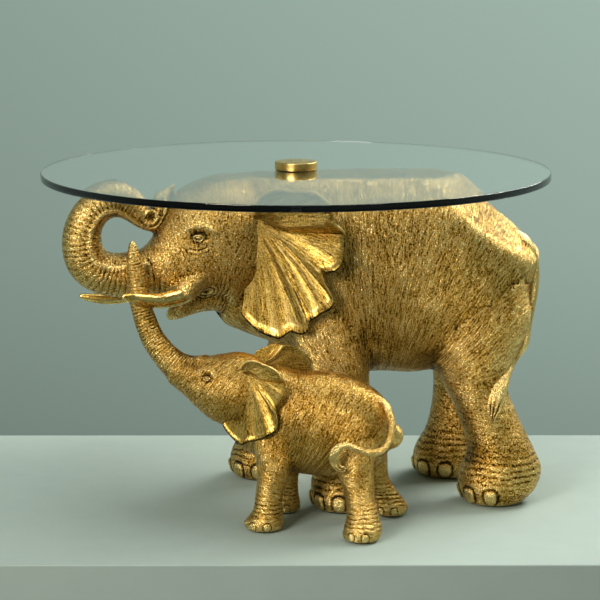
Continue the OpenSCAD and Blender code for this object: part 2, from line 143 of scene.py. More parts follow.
CALF_LEGS = {
    "front_left": [
        [[-20, -172, 112], 22, 32, 32], [[-24, -182, 88], 21, 23, 23], [[-26, -189, 64], 18, 18, 19],
        [[-30, -193, 42], 16, 16, 16], [[-32, -195, 24], 17, 17, 17], [[-36, -196, 10], 21, 22, 22],
        [[-36, -196, 2], 18, 19, 19]],
    "front_right": [
        [[-16, -138, 112], 20, 28, 30], [[-14, -130, 88], 20, 21, 21], [[-12, -124, 64], 17, 18, 18],
        [[-12, -119, 42], 15, 15, 15], [[-13, -116, 24], 16, 16, 16], [[-14, -116, 10], 19, 19, 19],
        [[-14, -116, 2], 16, 17, 17]],
    "rear_left": [
        [[66, -192, 112], 24, 36, 34], [[66, -207, 90], 23, 24, 23], [[67, -218, 70], 20, 20, 20],
        [[71, -228, 48], 17, 17, 17], [[74, -236, 29], 18, 18, 18], [[74, -241, 12], 21, 22, 22],
        [[73, -242, 2], 18, 19, 19]],
    "rear_right": [
        [[80, -164, 108], 22, 32, 26], [[83, -152, 88], 21, 24, 21], [[87, -143, 66], 18, 18, 18],
        [[92, -137, 46], 15, 15, 15], [[101, -133, 28], 16, 16, 17], [[109, -131, 11], 19, 20, 20],
        [[109, -131, 2], 16, 17, 17]],
}
CALF_SKULL = [
    [[-40, -150, 146], 28, 36, 46], [[-58, -148, 149], 36, 44, 43], [[-80, -144, 153], 39, 43, 41],
    [[-100, -139, 159], 35, 34, 33], [[-117, -134, 165], 27, 23, 25], [[-130, -130, 170], 21, 18, 21],
]
CALF_JAW = [
    [[-84, -142, 131], 20, 16, 15], [[-104, -136, 137], 14, 10, 10], [[-121, -131, 144], 7, 5, 4],
    [[-132, -128, 148], 3.5, 2.5, 2.5], [[-139, -126, 151], 1.8, 1.5, 1.5],
]
CALF_TRUNK = [
    [[-108, -136, 167], 27, 24, 24], [[-124, -131, 171], 21, 18, 20], [[-139, -126, 178], 18, 16, 18],
    [[-153, -120, 190], 15, 15, 15], [[-164, -115, 205], 14, 14, 14], [[-172, -111, 223], 13, 13, 13],
    [[-178, -108, 243], 13, 12.5, 12.5], [[-181, -107, 262], 12.5, 12.5, 12.5],
    [[-184, -107, 284], 10.5, 10.5, 10.5], [[-186, -108, 301], 7.5, 7.5, 7.5],
    [[-187, -109, 313], 4.5, 4.5, 4.5],
]
CALF_TAIL = [
    [[86, -185, 152], 4.3, 4.3, 4.3], [[100, -192, 144], 4.3, 4.3, 4.3], [[107, -202, 127], 4.3, 4.3, 4.3],
    [[104, -216, 109], 3.8, 3.8, 3.8], [[94, -230, 100], 3.8, 3.8, 3.8], [[79, -239, 100], 3.8, 3.8, 3.8],
    [[64, -243, 106], 3.8, 3.8, 3.8], [[54, -244, 109], 4.3, 4.3, 4.3], [[45, -244, 104], 5.5, 6, 6],
    [[42, -243, 94], 5, 6, 6], [[46, -243, 85], 3.5, 4, 4], [[53, -243, 82], 1.8, 2, 2],
]

# Planes through the bonded necks, as [point, direction towards the head].
COW_NECK = [(-40, -8, 0), (-math.cos(math.radians(25)), -math.sin(math.radians(25)), 0)]
CALF_NECK = [(-44, -151, 0), (-math.cos(math.radians(14)), math.sin(math.radians(14)), 0)]

# Middles of the eyes, and the two planes of the cow's croup as [point, sideways lean, back, up].
COW_EYES = {"left": (-112, -88, 318), "right": (-147.4, -12.3, 318)}
CALF_EYES = {"left": (-101, -170, 170), "right": (-86.3, -111.2, 170)}
CROUP = [(197, 0, BACK_Z), 0.349, 0.615, 0.707]

# Squares of each skin: rough, then of the carved body and head.
COW_SQUARES = (3.0, 2.3, 1.35)
CALF_SQUARES = (2.2, 1.35, 1.0)
NECK_MARGIN = 6         # skin left past the neck while a casting is carved


# ---------------------------------------------------------------------------
# Colour, nodes and materials
# ---------------------------------------------------------------------------

def colour(code):
    """Linear RGBA from an sRGB hex code such as B98A35."""
    levels = [int(code[i:i + 2], 16) / 255 for i in (0, 2, 4)]
    return [v / 12.92 if v <= 0.04045 else ((v + 0.055) / 1.055) ** 2.4 for v in levels] + [1.0]


def add_node(tree, kind, settings=None):
    """Adds a node. Settings are its properties, its inputs by name or number, and the stops of a colour
    ramp. An input is a value, a socket that feeds it, or a node whose first output does."""
    node = tree.nodes.new("ShaderNode" + kind)
    for key, value in (settings or {}).items():
        if isinstance(value, bpy.types.Node):
            value = value.outputs[0]
        if isinstance(value, bpy.types.NodeSocket):
            tree.links.new(value, node.inputs[key])
        elif key == "stops":
            elements = node.color_ramp.elements
            while len(elements) < len(value):
                elements.new(0.5)
            for element, (position, tone) in zip(elements, value):
                element.position = position
                element.color = colour(tone) if isinstance(tone, str) else tone
        elif isinstance(key, int) or key in node.inputs:
            node.inputs[key].default_value = value
        else:
            setattr(node, key, value)
    return node


def new_material(name):
    """An empty material and its tree."""
    material = bpy.data.materials.new(name)
    material.use_nodes = True
    material.node_tree.nodes.clear()
    return material, material.node_tree


def coated(tree, settings, inside=None):
    """Ends a tree with its Principled shader, and with what fills the solid, if anything does."""
    ends = {"Surface": add_node(tree, "BsdfPrincipled", settings)}
    if inside:
        ends["Volume"] = inside
    add_node(tree, "OutputMaterial", ends)


def shared(make, name, *values):
    """A finish by name, made the first time it is asked for."""
    return bpy.data.materials.get(name) or make(name, *values)


def antiqued_gold(name, light, mid, dark, lines, pitch, depth, rough, grit, low_shade):
    """Cast resin, sprayed metallic gold and rubbed back over dark umber: bright worn ridges, brown
    engraved strokes and hollows. Strokes lie 1 to 2 mm apart on the flanks, where lines is 1, and give
    way to a crackle of small cells where it is 0. Lines of None takes it from the surface. The last
    argument is how much painted shade darkens the legs low down, between 200 and 40 mm up. The hollow
    attribute also carries painted shade round the eyes."""
    material, tree = new_material(name)
    grain = add_node(tree, "Attribute", {"attribute_name": "grain"}).outputs["Vector"]
    hollow = add_node(tree, "Attribute", {"attribute_name": "hollow"}).outputs["Fac"]
    if lines is None:
        lines = add_node(tree, "Attribute", {"attribute_name": "lines"}).outputs["Fac"]
    place = add_node(tree, "TexCoord").outputs["Object"]

    # Two sets of long narrow strokes that cross: dark where the noise passes its middle.
    strokes = 0.0
    for turn, wide in ((-16.0, 1.0), (44.0, 1.2)):
        turned = add_node(tree, "Mapping", {
            "Vector": grain, "Rotation": (0, 0, math.radians(turn)),
            "Scale": (1 / (wide * pitch), 1 / (14 * pitch), 1.0)})
        wave = add_node(tree, "TexNoise", {
            "Vector": turned, "Scale": 1.0, "Detail": 3.0, "Roughness": 0.65, "Distortion": 0.2})
        aside = add_node(tree, "Math", {"operation": "SUBTRACT", 0: wave, 1: 0.5})
        cut = add_node(tree, "Math", {"operation": "ABSOLUTE", 0: aside})
        bare = add_node(tree, "Math", {"operation": "MULTIPLY", "use_clamp": True, 0: cut, 1: 11.0})
        strokes = add_node(tree, "Math", {"operation": "MULTIPLY_ADD", 0: bare, 1: 0.5, 2: strokes})

    # Crackle of cells about 2 mm wide, pits about 2 mm apart and patches about 25 mm wide.
    cells = add_node(tree, "TexVoronoi", {
        "feature": "DISTANCE_TO_EDGE", "Vector": place, "Scale": 460.0 / pitch})
    flakes = add_node(tree, "Math", {"operation": "MULTIPLY", "use_clamp": True, 0: cells, 1: 7.0})
    crackle = add_node(tree, "Mix", {"data_type": "FLOAT", 0: 0.35, 2: flakes, 3: strokes})
    carved = add_node(tree, "Mix", {"data_type": "FLOAT", 0: lines, 2: crackle, 3: strokes})
    pitted = add_node(tree, "TexNoise", {"Vector": place, "Scale": 560.0, "Detail": 3.0, "Roughness": 0.7})
    pits = add_node(tree, "MapRange", {"Value": pitted, "From Min": 0.40, "From Max": 0.60})
    patchy = add_node(tree, "TexNoise", {"Vector": place, "Scale": 38.0, "Detail": 4.0, "Roughness": 0.6})
    height = add_node(tree, "SeparateXYZ", {"Vector": place}).outputs["Z"]
    # Painted shade: the gold darkens towards umber from 200 mm down to 40 mm above the floor.
    painted_low_shade = add_node(tree, "MapRange", {
        "Value": height, "From Min": 0.04, "From Max": 0.2, "To Min": low_shade, "To Max": 0.0})

    # How far the gold is rubbed back to: 0 is umber, 1 is bright. Painted shade low down and round the eyes
    # pulls it towards umber too.
    worn = -0.2
    for part, share in ((carved, 0.6), (pits, 0.9 * grit), (hollow, -0.55), (painted_low_shade, -1.0), (patchy, 0.4)):
        worn = add_node(tree, "Math", {"operation": "MULTIPLY_ADD", 0: part, 1: share, 2: worn})
    worn.use_clamp = True
    relief = add_node(tree, "Math", {"operation": "MULTIPLY_ADD", 0: pits, 1: grit, 2: carved})
    coated(tree, {
        "Base Color": add_node(tree, "ValToRGB", {
            "Fac": worn, "stops": ((0.20, dark), (0.50, mid), (0.88, light))}),
        "Metallic": add_node(tree, "MapRange", {
            "Value": worn, "From Min": 0.05, "From Max": 0.3, "To Min": 0.6, "To Max": 1.0}),
        "Roughness": add_node(tree, "MapRange", {
            "Value": worn, "From Min": 0.1, "From Max": 0.8, "To Min": rough + 0.22, "To Max": rough}),
        "Normal": add_node(tree, "Bump", {"Height": relief, "Strength": 1.0, "Distance": depth * MM})})
    return material


def patterned(name, noise_settings, surface, tones=None, gloss=None, relief=None, stretch=(1, 1, 1)):
    """A finish that follows one noise on Object coordinates: its colours as the stops of a ramp, its
    lowest and highest roughness, and its bump's strength and depth. Scales are lumps per metre."""
    material, tree = new_material(name)
    place = add_node(tree, "TexCoord").outputs["Object"]
    turned = add_node(tree, "Mapping", {"Vector": place, "Scale": stretch})
    lumps = add_node(tree, "TexNoise", {"Vector": turned, "Detail": 3.0, **noise_settings})
    inputs = dict(surface)
    if tones:
        inputs["Base Color"] = add_node(tree, "ValToRGB", {"Fac": lumps, "stops": tones})
    if gloss:
        inputs["Roughness"] = add_node(tree, "MapRange", {
            "Value": lumps, "To Min": gloss[0], "To Max": gloss[1]})
    if relief:
        inputs["Normal"] = add_node(tree, "Bump", {
            "Height": lumps, "Strength": relief[0], "Distance": relief[1]})
    coated(tree, inputs)
    return material


def float_glass(name, tint):
    """Tempered float glass, 8 mm, with a ground and polished edge: clear through its faces, and dark
    purple-grey along its length, which is what darkens the rim."""
    material, tree = new_material(name)
    inside = add_node(tree, "VolumeAbsorption", {"Color": tint, "Density": 6.0})
    coated(tree, {"Base Color": (0.97, 0.99, 0.98, 1), "Roughness": 0.0, "IOR": 1.52,
                  "Transmission Weight": 1.0}, inside)
    return material


def clear_polymer(name, rough):
    """Moulded clear polyurethane or nylon: soft-edged highlights and a faint haze."""
    clear = {"Base Color": (0.93, 0.96, 0.94, 1), "IOR": 1.49, "Transmission Weight": 0.9}
    return patterned(name, {"Scale": 800.0}, clear, gloss=(rough, rough + 0.15))


def lacquered_brass(name, tone, turned):
    """Brass turned on a lathe, brushed and lacquered: hair-fine rings that draw the light into a fan.
    Real lines are about 0.05 mm apart, and these are far coarser so that they show."""
    material, tree = new_material(name)
    place = add_node(tree, "TexCoord").outputs["Object"]
    rings = add_node(tree, "TexWave", {
        "wave_type": "RINGS", "rings_direction": "Z", "Vector": place, "Scale": turned,
        "Distortion": 1.2, "Detail": 3.0, "Detail Scale": 2.0}).outputs["Fac"]
    cloud = add_node(tree, "TexNoise", {"Vector": place, "Scale": 120.0, "Detail": 3.0})
    shade = add_node(tree, "Mix", {"data_type": "FLOAT", 0: 0.7, 2: rings, 3: cloud})
    coated(tree, {
        "Metallic": 1.0,
        "Base Color": add_node(tree, "ValToRGB", {
            "Fac": shade, "stops": ((0.25, "C0943F"), (0.75, tone))}),
        "Roughness": add_node(tree, "MapRange", {"Value": shade, "To Min": 0.2, "To Max": 0.38}),
        "Normal": add_node(tree, "Bump", {"Height": rings, "Strength": 0.4, "Distance": 0.00005})})
    return material


def zinc_steel(name):
    """Zinc-plated steel: cool grey with cloudy crystal patches."""
    return patterned(name, {"Scale": 260.0, "Detail": 5.0}, {"Metallic": 1.0},
                     ((0.3, "8E9296"), (0.7, "C6C9CB")), gloss=(0.25, 0.5))


def black_rubber(name):
    """Moulded rubber: near-black, matt, with a fine grain of about 0.8 mm."""
    return patterned(name, {"Scale": 1200.0}, {"Roughness": 0.7},
                     ((0.3, "141312"), (0.7, "2A2826")), relief=(0.5, 0.0001))


def pressed_felt(name):
    """Pressed wool felt: dark brown, fuzzy, with fibres about 1 mm long that catch the light."""
    fibres = {"Scale": 1600.0, "Detail": 4.0, "Roughness": 0.8, "Distortion": 2.5}
    return patterned(name, fibres, {"Roughness": 0.95, "Sheen Weight": 0.4, "Sheen Roughness": 0.5},
                     ((0.35, "1E1812"), (0.65, "4A3D2F")), relief=(1.0, 0.0003))


def sawn_beech(name):
    """Sawn beech: pale brown with growth lines about 2 mm apart and short dark flecks."""
    return patterned(name, {"Scale": 1.0, "Detail": 4.0, "Distortion": 0.6}, {"Roughness": 0.65},
                     ((0.35, "9C7446"), (0.7, "C9A272")), relief=(0.5, 0.0002), stretch=(500, 60, 500))


def matt_emulsion(name, tone):
    """Emulsion paint: matt, with a faint cloudiness from the roller, about 40 mm wide."""
    shade = (*[v * 0.96 for v in tone[:3]], 1)
    return patterned(name, {"Scale": 26.0}, {"Roughness": 0.85}, ((0.3, shade), (0.7, tone)))


# ---------------------------------------------------------------------------
# Shaping the castings. Lengths here are millimetres until a piece is finished.
# ---------------------------------------------------------------------------

def dense(stations, steps):
    """Smooth line through the stations, as rows of x, y, z, side, upper and lower radius."""
    p = np.array([[*centre, *radii] for centre, *radii in stations], float)
    last = len(p) - 1
    rows = []
    for i in range(last):
        a, b, c, d = p[max(i - 1, 0)], p[i], p[i + 1], p[min(i + 2, last)]
        for t in np.linspace(0, 1, steps, endpoint=False):
            rows.append(0.5 * (2 * b + (c - a) * t + (2 * a - 5 * b + 4 * c - d) * t * t
                               + (3 * b - a - 3 * c + d) * t ** 3))
    return np.array([*rows, p[-1]])


def rounded(line, start, end):
    """The line with a dome of shrinking rows on its start, its end or both."""
    out = list(line)
    for wanted, tip, inner in ((start, 0, 1), (end, -1, -2)):
        if not wanted:
            continue
        way = line[tip, :3] - line[inner, :3]
        way = way / np.linalg.norm(way)
        reach = line[tip, 3:].mean()
        for share in (0.45, 0.75, 0.93, 0.999):
            row = line[tip].copy()
            row[:3] += way * reach * share
            row[3:] *= math.sqrt(1 - share * share)
            out.insert(0 if tip == 0 else len(out), row)
    return np.array(out)


def frames(line, side, level):
    """Tangent, side and upper directions at each row. Rings of a leg are level with the floor."""
    tangent = np.gradient(line[:, :3], axis=0)
    if level:
        tangent[:] = (0, 0, -1)
    tangent /= np.linalg.norm(tangent, axis=1)[:, None]
    across = np.array(side, float) - tangent * (tangent @ np.array(side, float))[:, None]
    across /= np.linalg.norm(across, axis=1)[:, None]
    return tangent, across, np.cross(across, tangent)


def loft(bm, stations, side=(0, 1, 0), level=False, sides=48, steps=5, power=2.0, domes=(False, False)):
    """Wraps a grid round the stations into a closed tube. A power above 2 squares its section."""
    line = rounded(dense(stations, steps), *domes)
    tangent, across, up = frames(line, side, level)
    last = len(line) - 1
    made = bmesh.ops.create_grid(bm, x_segments=sides, y_segments=last, size=1.0)["verts"]
    for vert in made:
        turn = (vert.co.x + 1) * math.pi
        i = round((vert.co.y + 1) / 2 * last)
        c, s = math.cos(turn), math.sin(turn)
        fit = (abs(c) ** power + abs(s) ** power) ** (-1 / power)
        radius = line[i, 4] if s > 0 else line[i, 5]
        vert.co = Vector(line[i, :3] + across[i] * line[i, 3] * c * fit + up[i] * radius * s * fit)
    bmesh.ops.remove_doubles(bm, verts=made, dist=1e-4)
    bmesh.ops.holes_fill(bm, edges=[e for e in bm.edges if e.is_boundary])


def meshed(bm):
    """The bmesh turned into a mesh, with its faces pointing outwards."""
    bmesh.ops.recalc_face_normals(bm, faces=bm.faces[:])
    mesh = bpy.data.meshes.new("draft")
    bm.to_mesh(mesh)
    bm.free()
    return mesh


def drawn(build):
    """A mesh from a bmesh that build fills in."""
    bm = bmesh.new()
    build(bm)
    return meshed(bm)


def trimmed(bm, point, beyond):
    """Takes away everything beyond a plane and closes the cut."""
    bmesh.ops.bisect_plane(bm, geom=[*bm.verts, *bm.edges, *bm.faces], dist=1e-4,
                           plane_co=point, plane_no=beyond, clear_outer=True)
    bmesh.ops.holes_fill(bm, edges=[e for e in bm.edges if e.is_boundary])


def reskinned(mesh, size):
    """The mesh rebuilt as one even skin of small squares, with everything inside it gone."""
    obj = bpy.data.objects.new("draft", mesh)
    bpy.context.scene.collection.objects.link(obj)
    skin = obj.modifiers.new("skin", "REMESH")
    skin.mode = "VOXEL"
    skin.voxel_size = size
    skin.adaptivity = 0.0
    graph = bpy.context.evaluated_depsgraph_get()
    made = bpy.data.meshes.new_from_object(obj.evaluated_get(graph))
    bpy.data.objects.remove(obj)
    bpy.data.meshes.remove(mesh)
    return made


def points(mesh):
    """Vertex places as an array."""
    flat = np.empty(len(mesh.vertices) * 3)
    mesh.vertices.foreach_get("co", flat)
    return flat.reshape(-1, 3)


def place(mesh, co):
    """Puts the vertices at these places."""
    mesh.vertices.foreach_set("co", co.astype(np.float32).ravel())
    mesh.update()


def outward(mesh):
    """Vertex normals as an array."""
    flat = np.empty(len(mesh.vertices) * 3, np.float32)
    mesh.vertex_normals.foreach_get("vector", flat)
    return flat.reshape(-1, 3).astype(float)


def eased(mesh, values, rounds, pulls=(0.5,)):
    """Values at the vertices, evened out with their neighbours' that many rounds."""
    flat = np.empty(len(mesh.edges) * 2, np.int32)
    mesh.edges.foreach_get("vertices", flat)
    a, b = flat.reshape(-1, 2).T
    n = len(values)
    count = np.bincount(flat, minlength=n)[:, None]
    out = values.reshape(n, -1).copy()
    for _ in range(rounds):
        for pull in pulls:
            total = np.stack([np.bincount(a, out[b, k], n) + np.bincount(b, out[a, k], n)
                              for k in range(out.shape[1])], axis=1)
            out += pull * (total / count - out)
    return out.reshape(values.shape)


def cut(mesh, point, beyond):
    """Trims a mesh at a plane, beyond which everything goes."""
    bm = bmesh.new()
    bm.from_mesh(mesh)
    trimmed(bm, point, beyond)
    bm.to_mesh(mesh)
    bm.free()


def pressed(co, point, direction):
    """Places beyond a plane, pressed flat onto it."""
    direction = np.array(direction, float) / np.linalg.norm(direction)
    over = np.clip((co - np.array(point, float)) @ direction, 0, None)
    return co - over[:, None] * direction


def rough(co, scale, seed=0.0):
    """Smooth random values from -1 to 1 at these places. Scale is the size of a lump, along x, y, z."""
    at = (co / np.array(scale, float) + seed).tolist()
    return np.array([noise.noise(p) for p in at])


def filled(mesh, rounds, within):
    """Fills creases, such as where a leg joins the body, within a mask, and leaves ridges alone."""
    co = points(mesh)
    for i in range(rounds):
        if i % 5 == 0:
            place(mesh, co)
            out = outward(mesh)
        gap = ((eased(mesh, co, 1, (1.0,)) - co) * out).sum(1)
        co += out * (np.clip(gap, 0, None) * 0.8 * within(co))[:, None]
    place(mesh, co)


def from_line(flat, line):
    """Distance of each flat place from a line through some points."""
    best = np.full(len(flat), np.inf)
    for a, b in zip(np.array(line[:-1], float), np.array(line[1:], float)):
        t = np.clip((flat - a) @ (b - a) / ((b - a) @ (b - a)), 0, 1)
        best = np.minimum(best, np.hypot(*(flat - a - t[:, None] * (b - a)).T))
    return best


def bell(distance, width):
    """1 at no distance, falling smoothly to nothing past the width."""
    return np.exp(-(distance / width) ** 2)


def ridges(along, pitch, power):
    """A row of rounded ridges along a line: 1 on each ridge and 0 in the grooves between."""
    return np.abs(np.sin(along * math.pi / pitch)) ** power


def step(value, low, high):
    """0 below low, 1 above high, and smooth between."""
    t = np.clip((value - low) / (high - low), 0, 1)
    return t * t * (3 - 2 * t)


class Limbs:
    """The centre lines that a casting's wrinkles and tool strokes follow."""

    def __init__(self, table):
        """table: rows of name, stations, side, level and the strokes' turn from the line in degrees."""
        self.names = [row[0] for row in table]
        self.rows = []
        for name, stations, side, level, turn in table:
            line = dense(stations, 10)
            self.rows.append((line, *frames(line, side, level), math.radians(turn)))

    def read(self, co):
        """For each place: its limb's number, and millimetres along and around that limb, and its angle."""
        nearest = np.full(len(co), np.inf)
        out = np.zeros((len(co), 5))
        for number, (line, tangent, across, up, turn) in enumerate(self.rows):
            middle = line[:, :3]
            far = (co ** 2).sum(1)[:, None] + (middle ** 2).sum(1)[None] - 2 * co @ middle.T
            i = far.argmin(1)
            gap = co - middle[i]
            run = np.r_[0, np.cumsum(np.linalg.norm(np.diff(middle, axis=0), axis=1))]
            ahead = (gap * tangent[i]).sum(1)
            sideways = (gap * across[i]).sum(1)
            upwards = (gap * up[i]).sum(1)
            angle = np.arctan2(upwards, sideways)
            radius = np.where(upwards > 0, line[i, 4], line[i, 5])
            local = 1 / np.sqrt((np.cos(angle) / line[i, 3]) ** 2 + (np.sin(angle) / radius) ** 2)
            share = np.sqrt(sideways ** 2 + upwards ** 2) / local + np.abs(ahead) / 60
            closer = share < nearest
            nearest[closer] = share[closer]
            made = np.stack([np.full(len(co), number), run[i] + ahead, angle * line[i, 3:6].mean(1),
                             angle, np.full(len(co), turn)], axis=1)
            out[closer] = made[closer]
        return out


def lay(read):
    """Across and along the tool strokes in millimetres, with a third number that parts the limbs."""
    number, run, around, _, turn = read.T
    return np.stack([around * np.cos(turn) - run * np.sin(turn),
                     around * np.sin(turn) + run * np.cos(turn), number * LIMB_GAP], axis=1)


def on_flank(read, co, low):
    """Which places lie on the torso, the first limb, or on a leg, the next four, above a height."""
    return (read[:, 0] == 0) | ((read[:, 0] <= LEGS) & (co[:, 2] > low))


def fanned(read, co, middle, reach, low):
    """The lay of the strokes, with those of the flank fanning out from a middle at x, z. Their pitch is
    true at that reach from it."""
    grain = lay(read)
    gap = co[:, [0, 2]] - middle
    first = on_flank(read, co, low)
    grain[first, 0] = np.arctan2(gap[first, 0], gap[first, 1]) * reach
    grain[first, 1] = np.hypot(*gap[first].T) + co[first, 1]
    grain[first, 2] = 0
    return grain


def keep(mesh, name, values):
    """Writes numbers or vectors at the vertices as an attribute of the mesh."""
    kind, field = ("FLOAT_VECTOR", "vector") if values.ndim == 2 else ("FLOAT", "value")
    layer = mesh.attributes.new(name, kind, "POINT")
    layer.data.foreach_set(field, values.astype(np.float32).ravel())


def kept(mesh, name):
    """Numbers read back from an attribute."""
    values = np.empty(len(mesh.vertices), np.float32)
    mesh.attributes[name].data.foreach_get("value", values)
    return values


def hollows(mesh, near, wide):
    """How deep each vertex lies below its surroundings: 1 in a groove, 0 on the flat, -1 on a ridge."""
    co = points(mesh)
    out = outward(mesh)
    fine = ((eased(mesh, co, 4) - co) * out).sum(1) / near
    broad = ((eased(mesh, co, 40) - co) * out).sum(1) / wide
    return np.clip(fine, -1, 1) * 0.6 + np.clip(broad, -1, 1) * 0.6


def finish_piece(mesh, name, body, nodes, material):
    """Turns a mesh in millimetres into a finished piece in metres that rides on a body."""
    mesh.transform(Matrix.Scale(MM, 4))
    mesh.name = name
    mesh.materials.clear()
    mesh.materials.append(material)
    mesh.polygons.foreach_set("use_smooth", [True] * len(mesh.polygons))
    obj = bpy.data.objects.new(name, mesh)
    bpy.context.scene.collection.objects.link(obj)
    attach(obj, body)
    if nodes:
        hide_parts(*nodes)
    return obj


# ---------------------------------------------------------------------------
# The cow's and calf's castings
# ---------------------------------------------------------------------------

BACKWARD = (0, -1, 0)       # side direction of a line that runs towards +X
FORWARD = (0, 1, 0)         # side direction of a line that runs towards -X

COW_LIMBS = Limbs([
    ["torso", COW_TORSO, BACKWARD, False, 48],
    *[[name, stations, FORWARD, True, 78] for name, stations in COW_LEGS.items()],
    ["skull", COW_SKULL, FORWARD, False, 72],
    ["jaw", COW_JAW, FORWARD, False, 30],
    ["trunk", COW_TRUNK, FORWARD, False, 86],
    *[["sheath_" + name, stations, FORWARD, False, 15] for name, stations in COW_SHEATHS.items()],
])
CALF_LIMBS = Limbs([
    ["torso", CALF_TORSO, BACKWARD, False, 50],
    *[[name, stations, FORWARD, True, 68] for name, stations in CALF_LEGS.items()],
    ["skull", CALF_SKULL, FORWARD, False, 70],
    ["jaw", CALF_JAW, FORWARD, False, 30],
    ["trunk", CALF_TRUNK, FORWARD, False, 84],
])


# Where the strokes of each body fan out from, as (x, z), the reach at which their pitch is true, and the
# height down to which the thighs share them.
COW_FAN = ((95, 80), 190, 150)
CALF_FAN = ((-60, -60), 190, 70)


def folds(grain, pitch, length, seed):
    """Carved folds that follow the strokes: 0 at the bottom of a cut, 1 between the cuts."""
    at = np.stack([grain[:, 0] / pitch, grain[:, 1] / length, grain[:, 2] + seed], axis=1)
    wave = np.array([noise.noise(p) for p in at.tolist()])
    return np.clip(np.abs(wave) * 5, 0, 1)


def nails(co, legs, reach, radius, size, centre_z, turns):
    """Toenails: height from 0 to 1 of rounded plates round the front of each foot."""
    out = np.zeros(len(co))
    for stations in legs.values():
        gap = co[:, :2] - stations[-1][0][:2]
        angle = np.degrees(np.arctan2(gap[:, 1], gap[:, 0]))
        near = (np.hypot(*gap.T) < reach) & (co[:, 2] < centre_z + 2 * size)
        for turn in turns:
            aside = np.radians((angle - turn + 180) % 360 - 180) * radius
            high = (co[:, 2] - centre_z) * 0.9
            edge = (np.abs(aside / size) ** 2.6 + np.abs(high / size) ** 2.6) ** (1 / 2.6)
            plate = 1 - step(edge, 0.76, 0.98) - 0.55 * bell(edge - 1.16, 0.13)
            out = np.where(near & (edge < 1.5) & (plate > out - 0.56), plate, out)
    return out


def surveyed(mesh, limbs, fan):
    """What carving goes by at each vertex: place, outward direction, lay of the strokes, millimetres
    along its limb, angle round it, and the limb's name."""
    co = points(mesh)
    read = limbs.read(co)
    names = np.array(limbs.names)[read[:, 0].astype(int)]
    return co, outward(mesh), fanned(read, co, *fan), read[:, 1], read[:, 3], names


def shape_cow(mesh, fine):
    """Carves the cow's skin: back and croup planes, folds, trunk rings, eyes, mouth and nails."""
    co, out, grain, run, angle, name = surveyed(mesh, COW_LIMBS, COW_FAN)
    legs = np.isin(name, list(COW_LEGS))
    rise = np.zeros(len(co))
    flank = (name == "torso").astype(float)
    rise += flank * 0.22 * (folds(grain, 9, 60, 0) - 1) * step(co[:, 2], 140, 200)
    rise += flank * 1.5 * rough(co, (30, 44, 36), 3)
    rise += legs * 0.25 * (folds(grain, 6, 30, 5) - 1)
    rise += legs * 0.9 * rough(co, (22, 22, 26), 9)
    ankle = legs * bell(co[:, 2] - 44, 22)
    rise += ankle * 0.9 * (ridges(co[:, 2] + 3 * rough(co, 18, 2), 7.5, 0.6) - 1)
    trunk = (name == "trunk").astype(float)
    outer = step(-np.sin(angle), -0.6, -0.3)
    ring = ridges(run + 1.4 * rough(co, 14, 4), 5.3, 0.7)
    line = ridges(run + 1.8 * rough(co, 9, 6), 3.2, 0.6)
    start = trunk * step(run, 4, 30)
    rise += start * (0.55 * outer * (ring - 1) + 0.35 * (1 - outer) * (line - 1))
    rise += start * step(-run, -300, -270) * 2.4 * bell(np.sin(angle) - 0.45, 0.15)
    nail = nails(co, COW_LEGS, 60, 44, 8.5, 13, (180, 140, 220, 100, 260))
    rise += nail * 1.9
    if fine:
        head = np.isin(name, ["skull", "jaw", "sheath_left", "sheath_right"]).astype(float)
        rise += head * 0.25 * (folds(grain, 5.5, 30, 7) - 1)
        for ex, ey, ez in COW_EYES.values():
            near = np.abs(co[:, 1] - ey) < 45
            far = np.hypot((co[:, 0] - ex) * 0.8, co[:, 2] - ez)
            rise += near * 2.4 * bell(far - 13, 6) * step(co[:, 2], ez - 2, ez + 10)
            rise -= near * 2.2 * bell(far, 8)
            low = np.hypot((co[:, 0] - ex + 1) * 0.75, co[:, 2] - ez + 5)
            rise += near * 0.45 * np.sin(low * math.pi / 2.6) * bell(low - 10, 4) \
                * step(-co[:, 2], 8 - ez, 14 - ez)
        ahead = co[:, 0] * COW_NECK[1][0] + co[:, 1] * COW_NECK[1][1]
        mouth = from_line(np.stack([ahead, co[:, 2]], axis=1),
                          [(157, 232), (148, 237), (139, 244), (132, 250), (125, 251)])
        rise -= head * 2.4 * bell(mouth, 1.7)
        corner = np.hypot(ahead - 125, (co[:, 2] - 252) * 1.2)
        rise += head * 0.45 * np.sin(corner * math.pi / 2.1) * bell(corner - 7, 5)
        rise += head * 0.25 * np.sin(ahead * math.pi / 1.9 + 5 * rough(co, 9, 8)) * bell(ahead - 106, 8) \
            * step(-co[:, 2], -300, -280)
        mask = trunk * (co[:, 1] < -60)
        opening = np.hypot(co[:, 0] + 168, co[:, 2] - 338)
        rise += mask * (1.3 * bell(opening - 7.5, 2.0) - 2.2 * bell(opening, 4.5))
    keep_flat = step(BACK_Z - co[:, 2], 0.5, 4) * step(co[:, 2], SOLE_Z + 0.2, SOLE_Z + 2)
    co += out * (rise * keep_flat)[:, None]
    co = pressed(co, (0, 0, BACK_Z), (0, 0, 1))
    co = pressed(co, (0, 0, SOLE_Z), (0, 0, -1))
    place(mesh, co)
    return nail


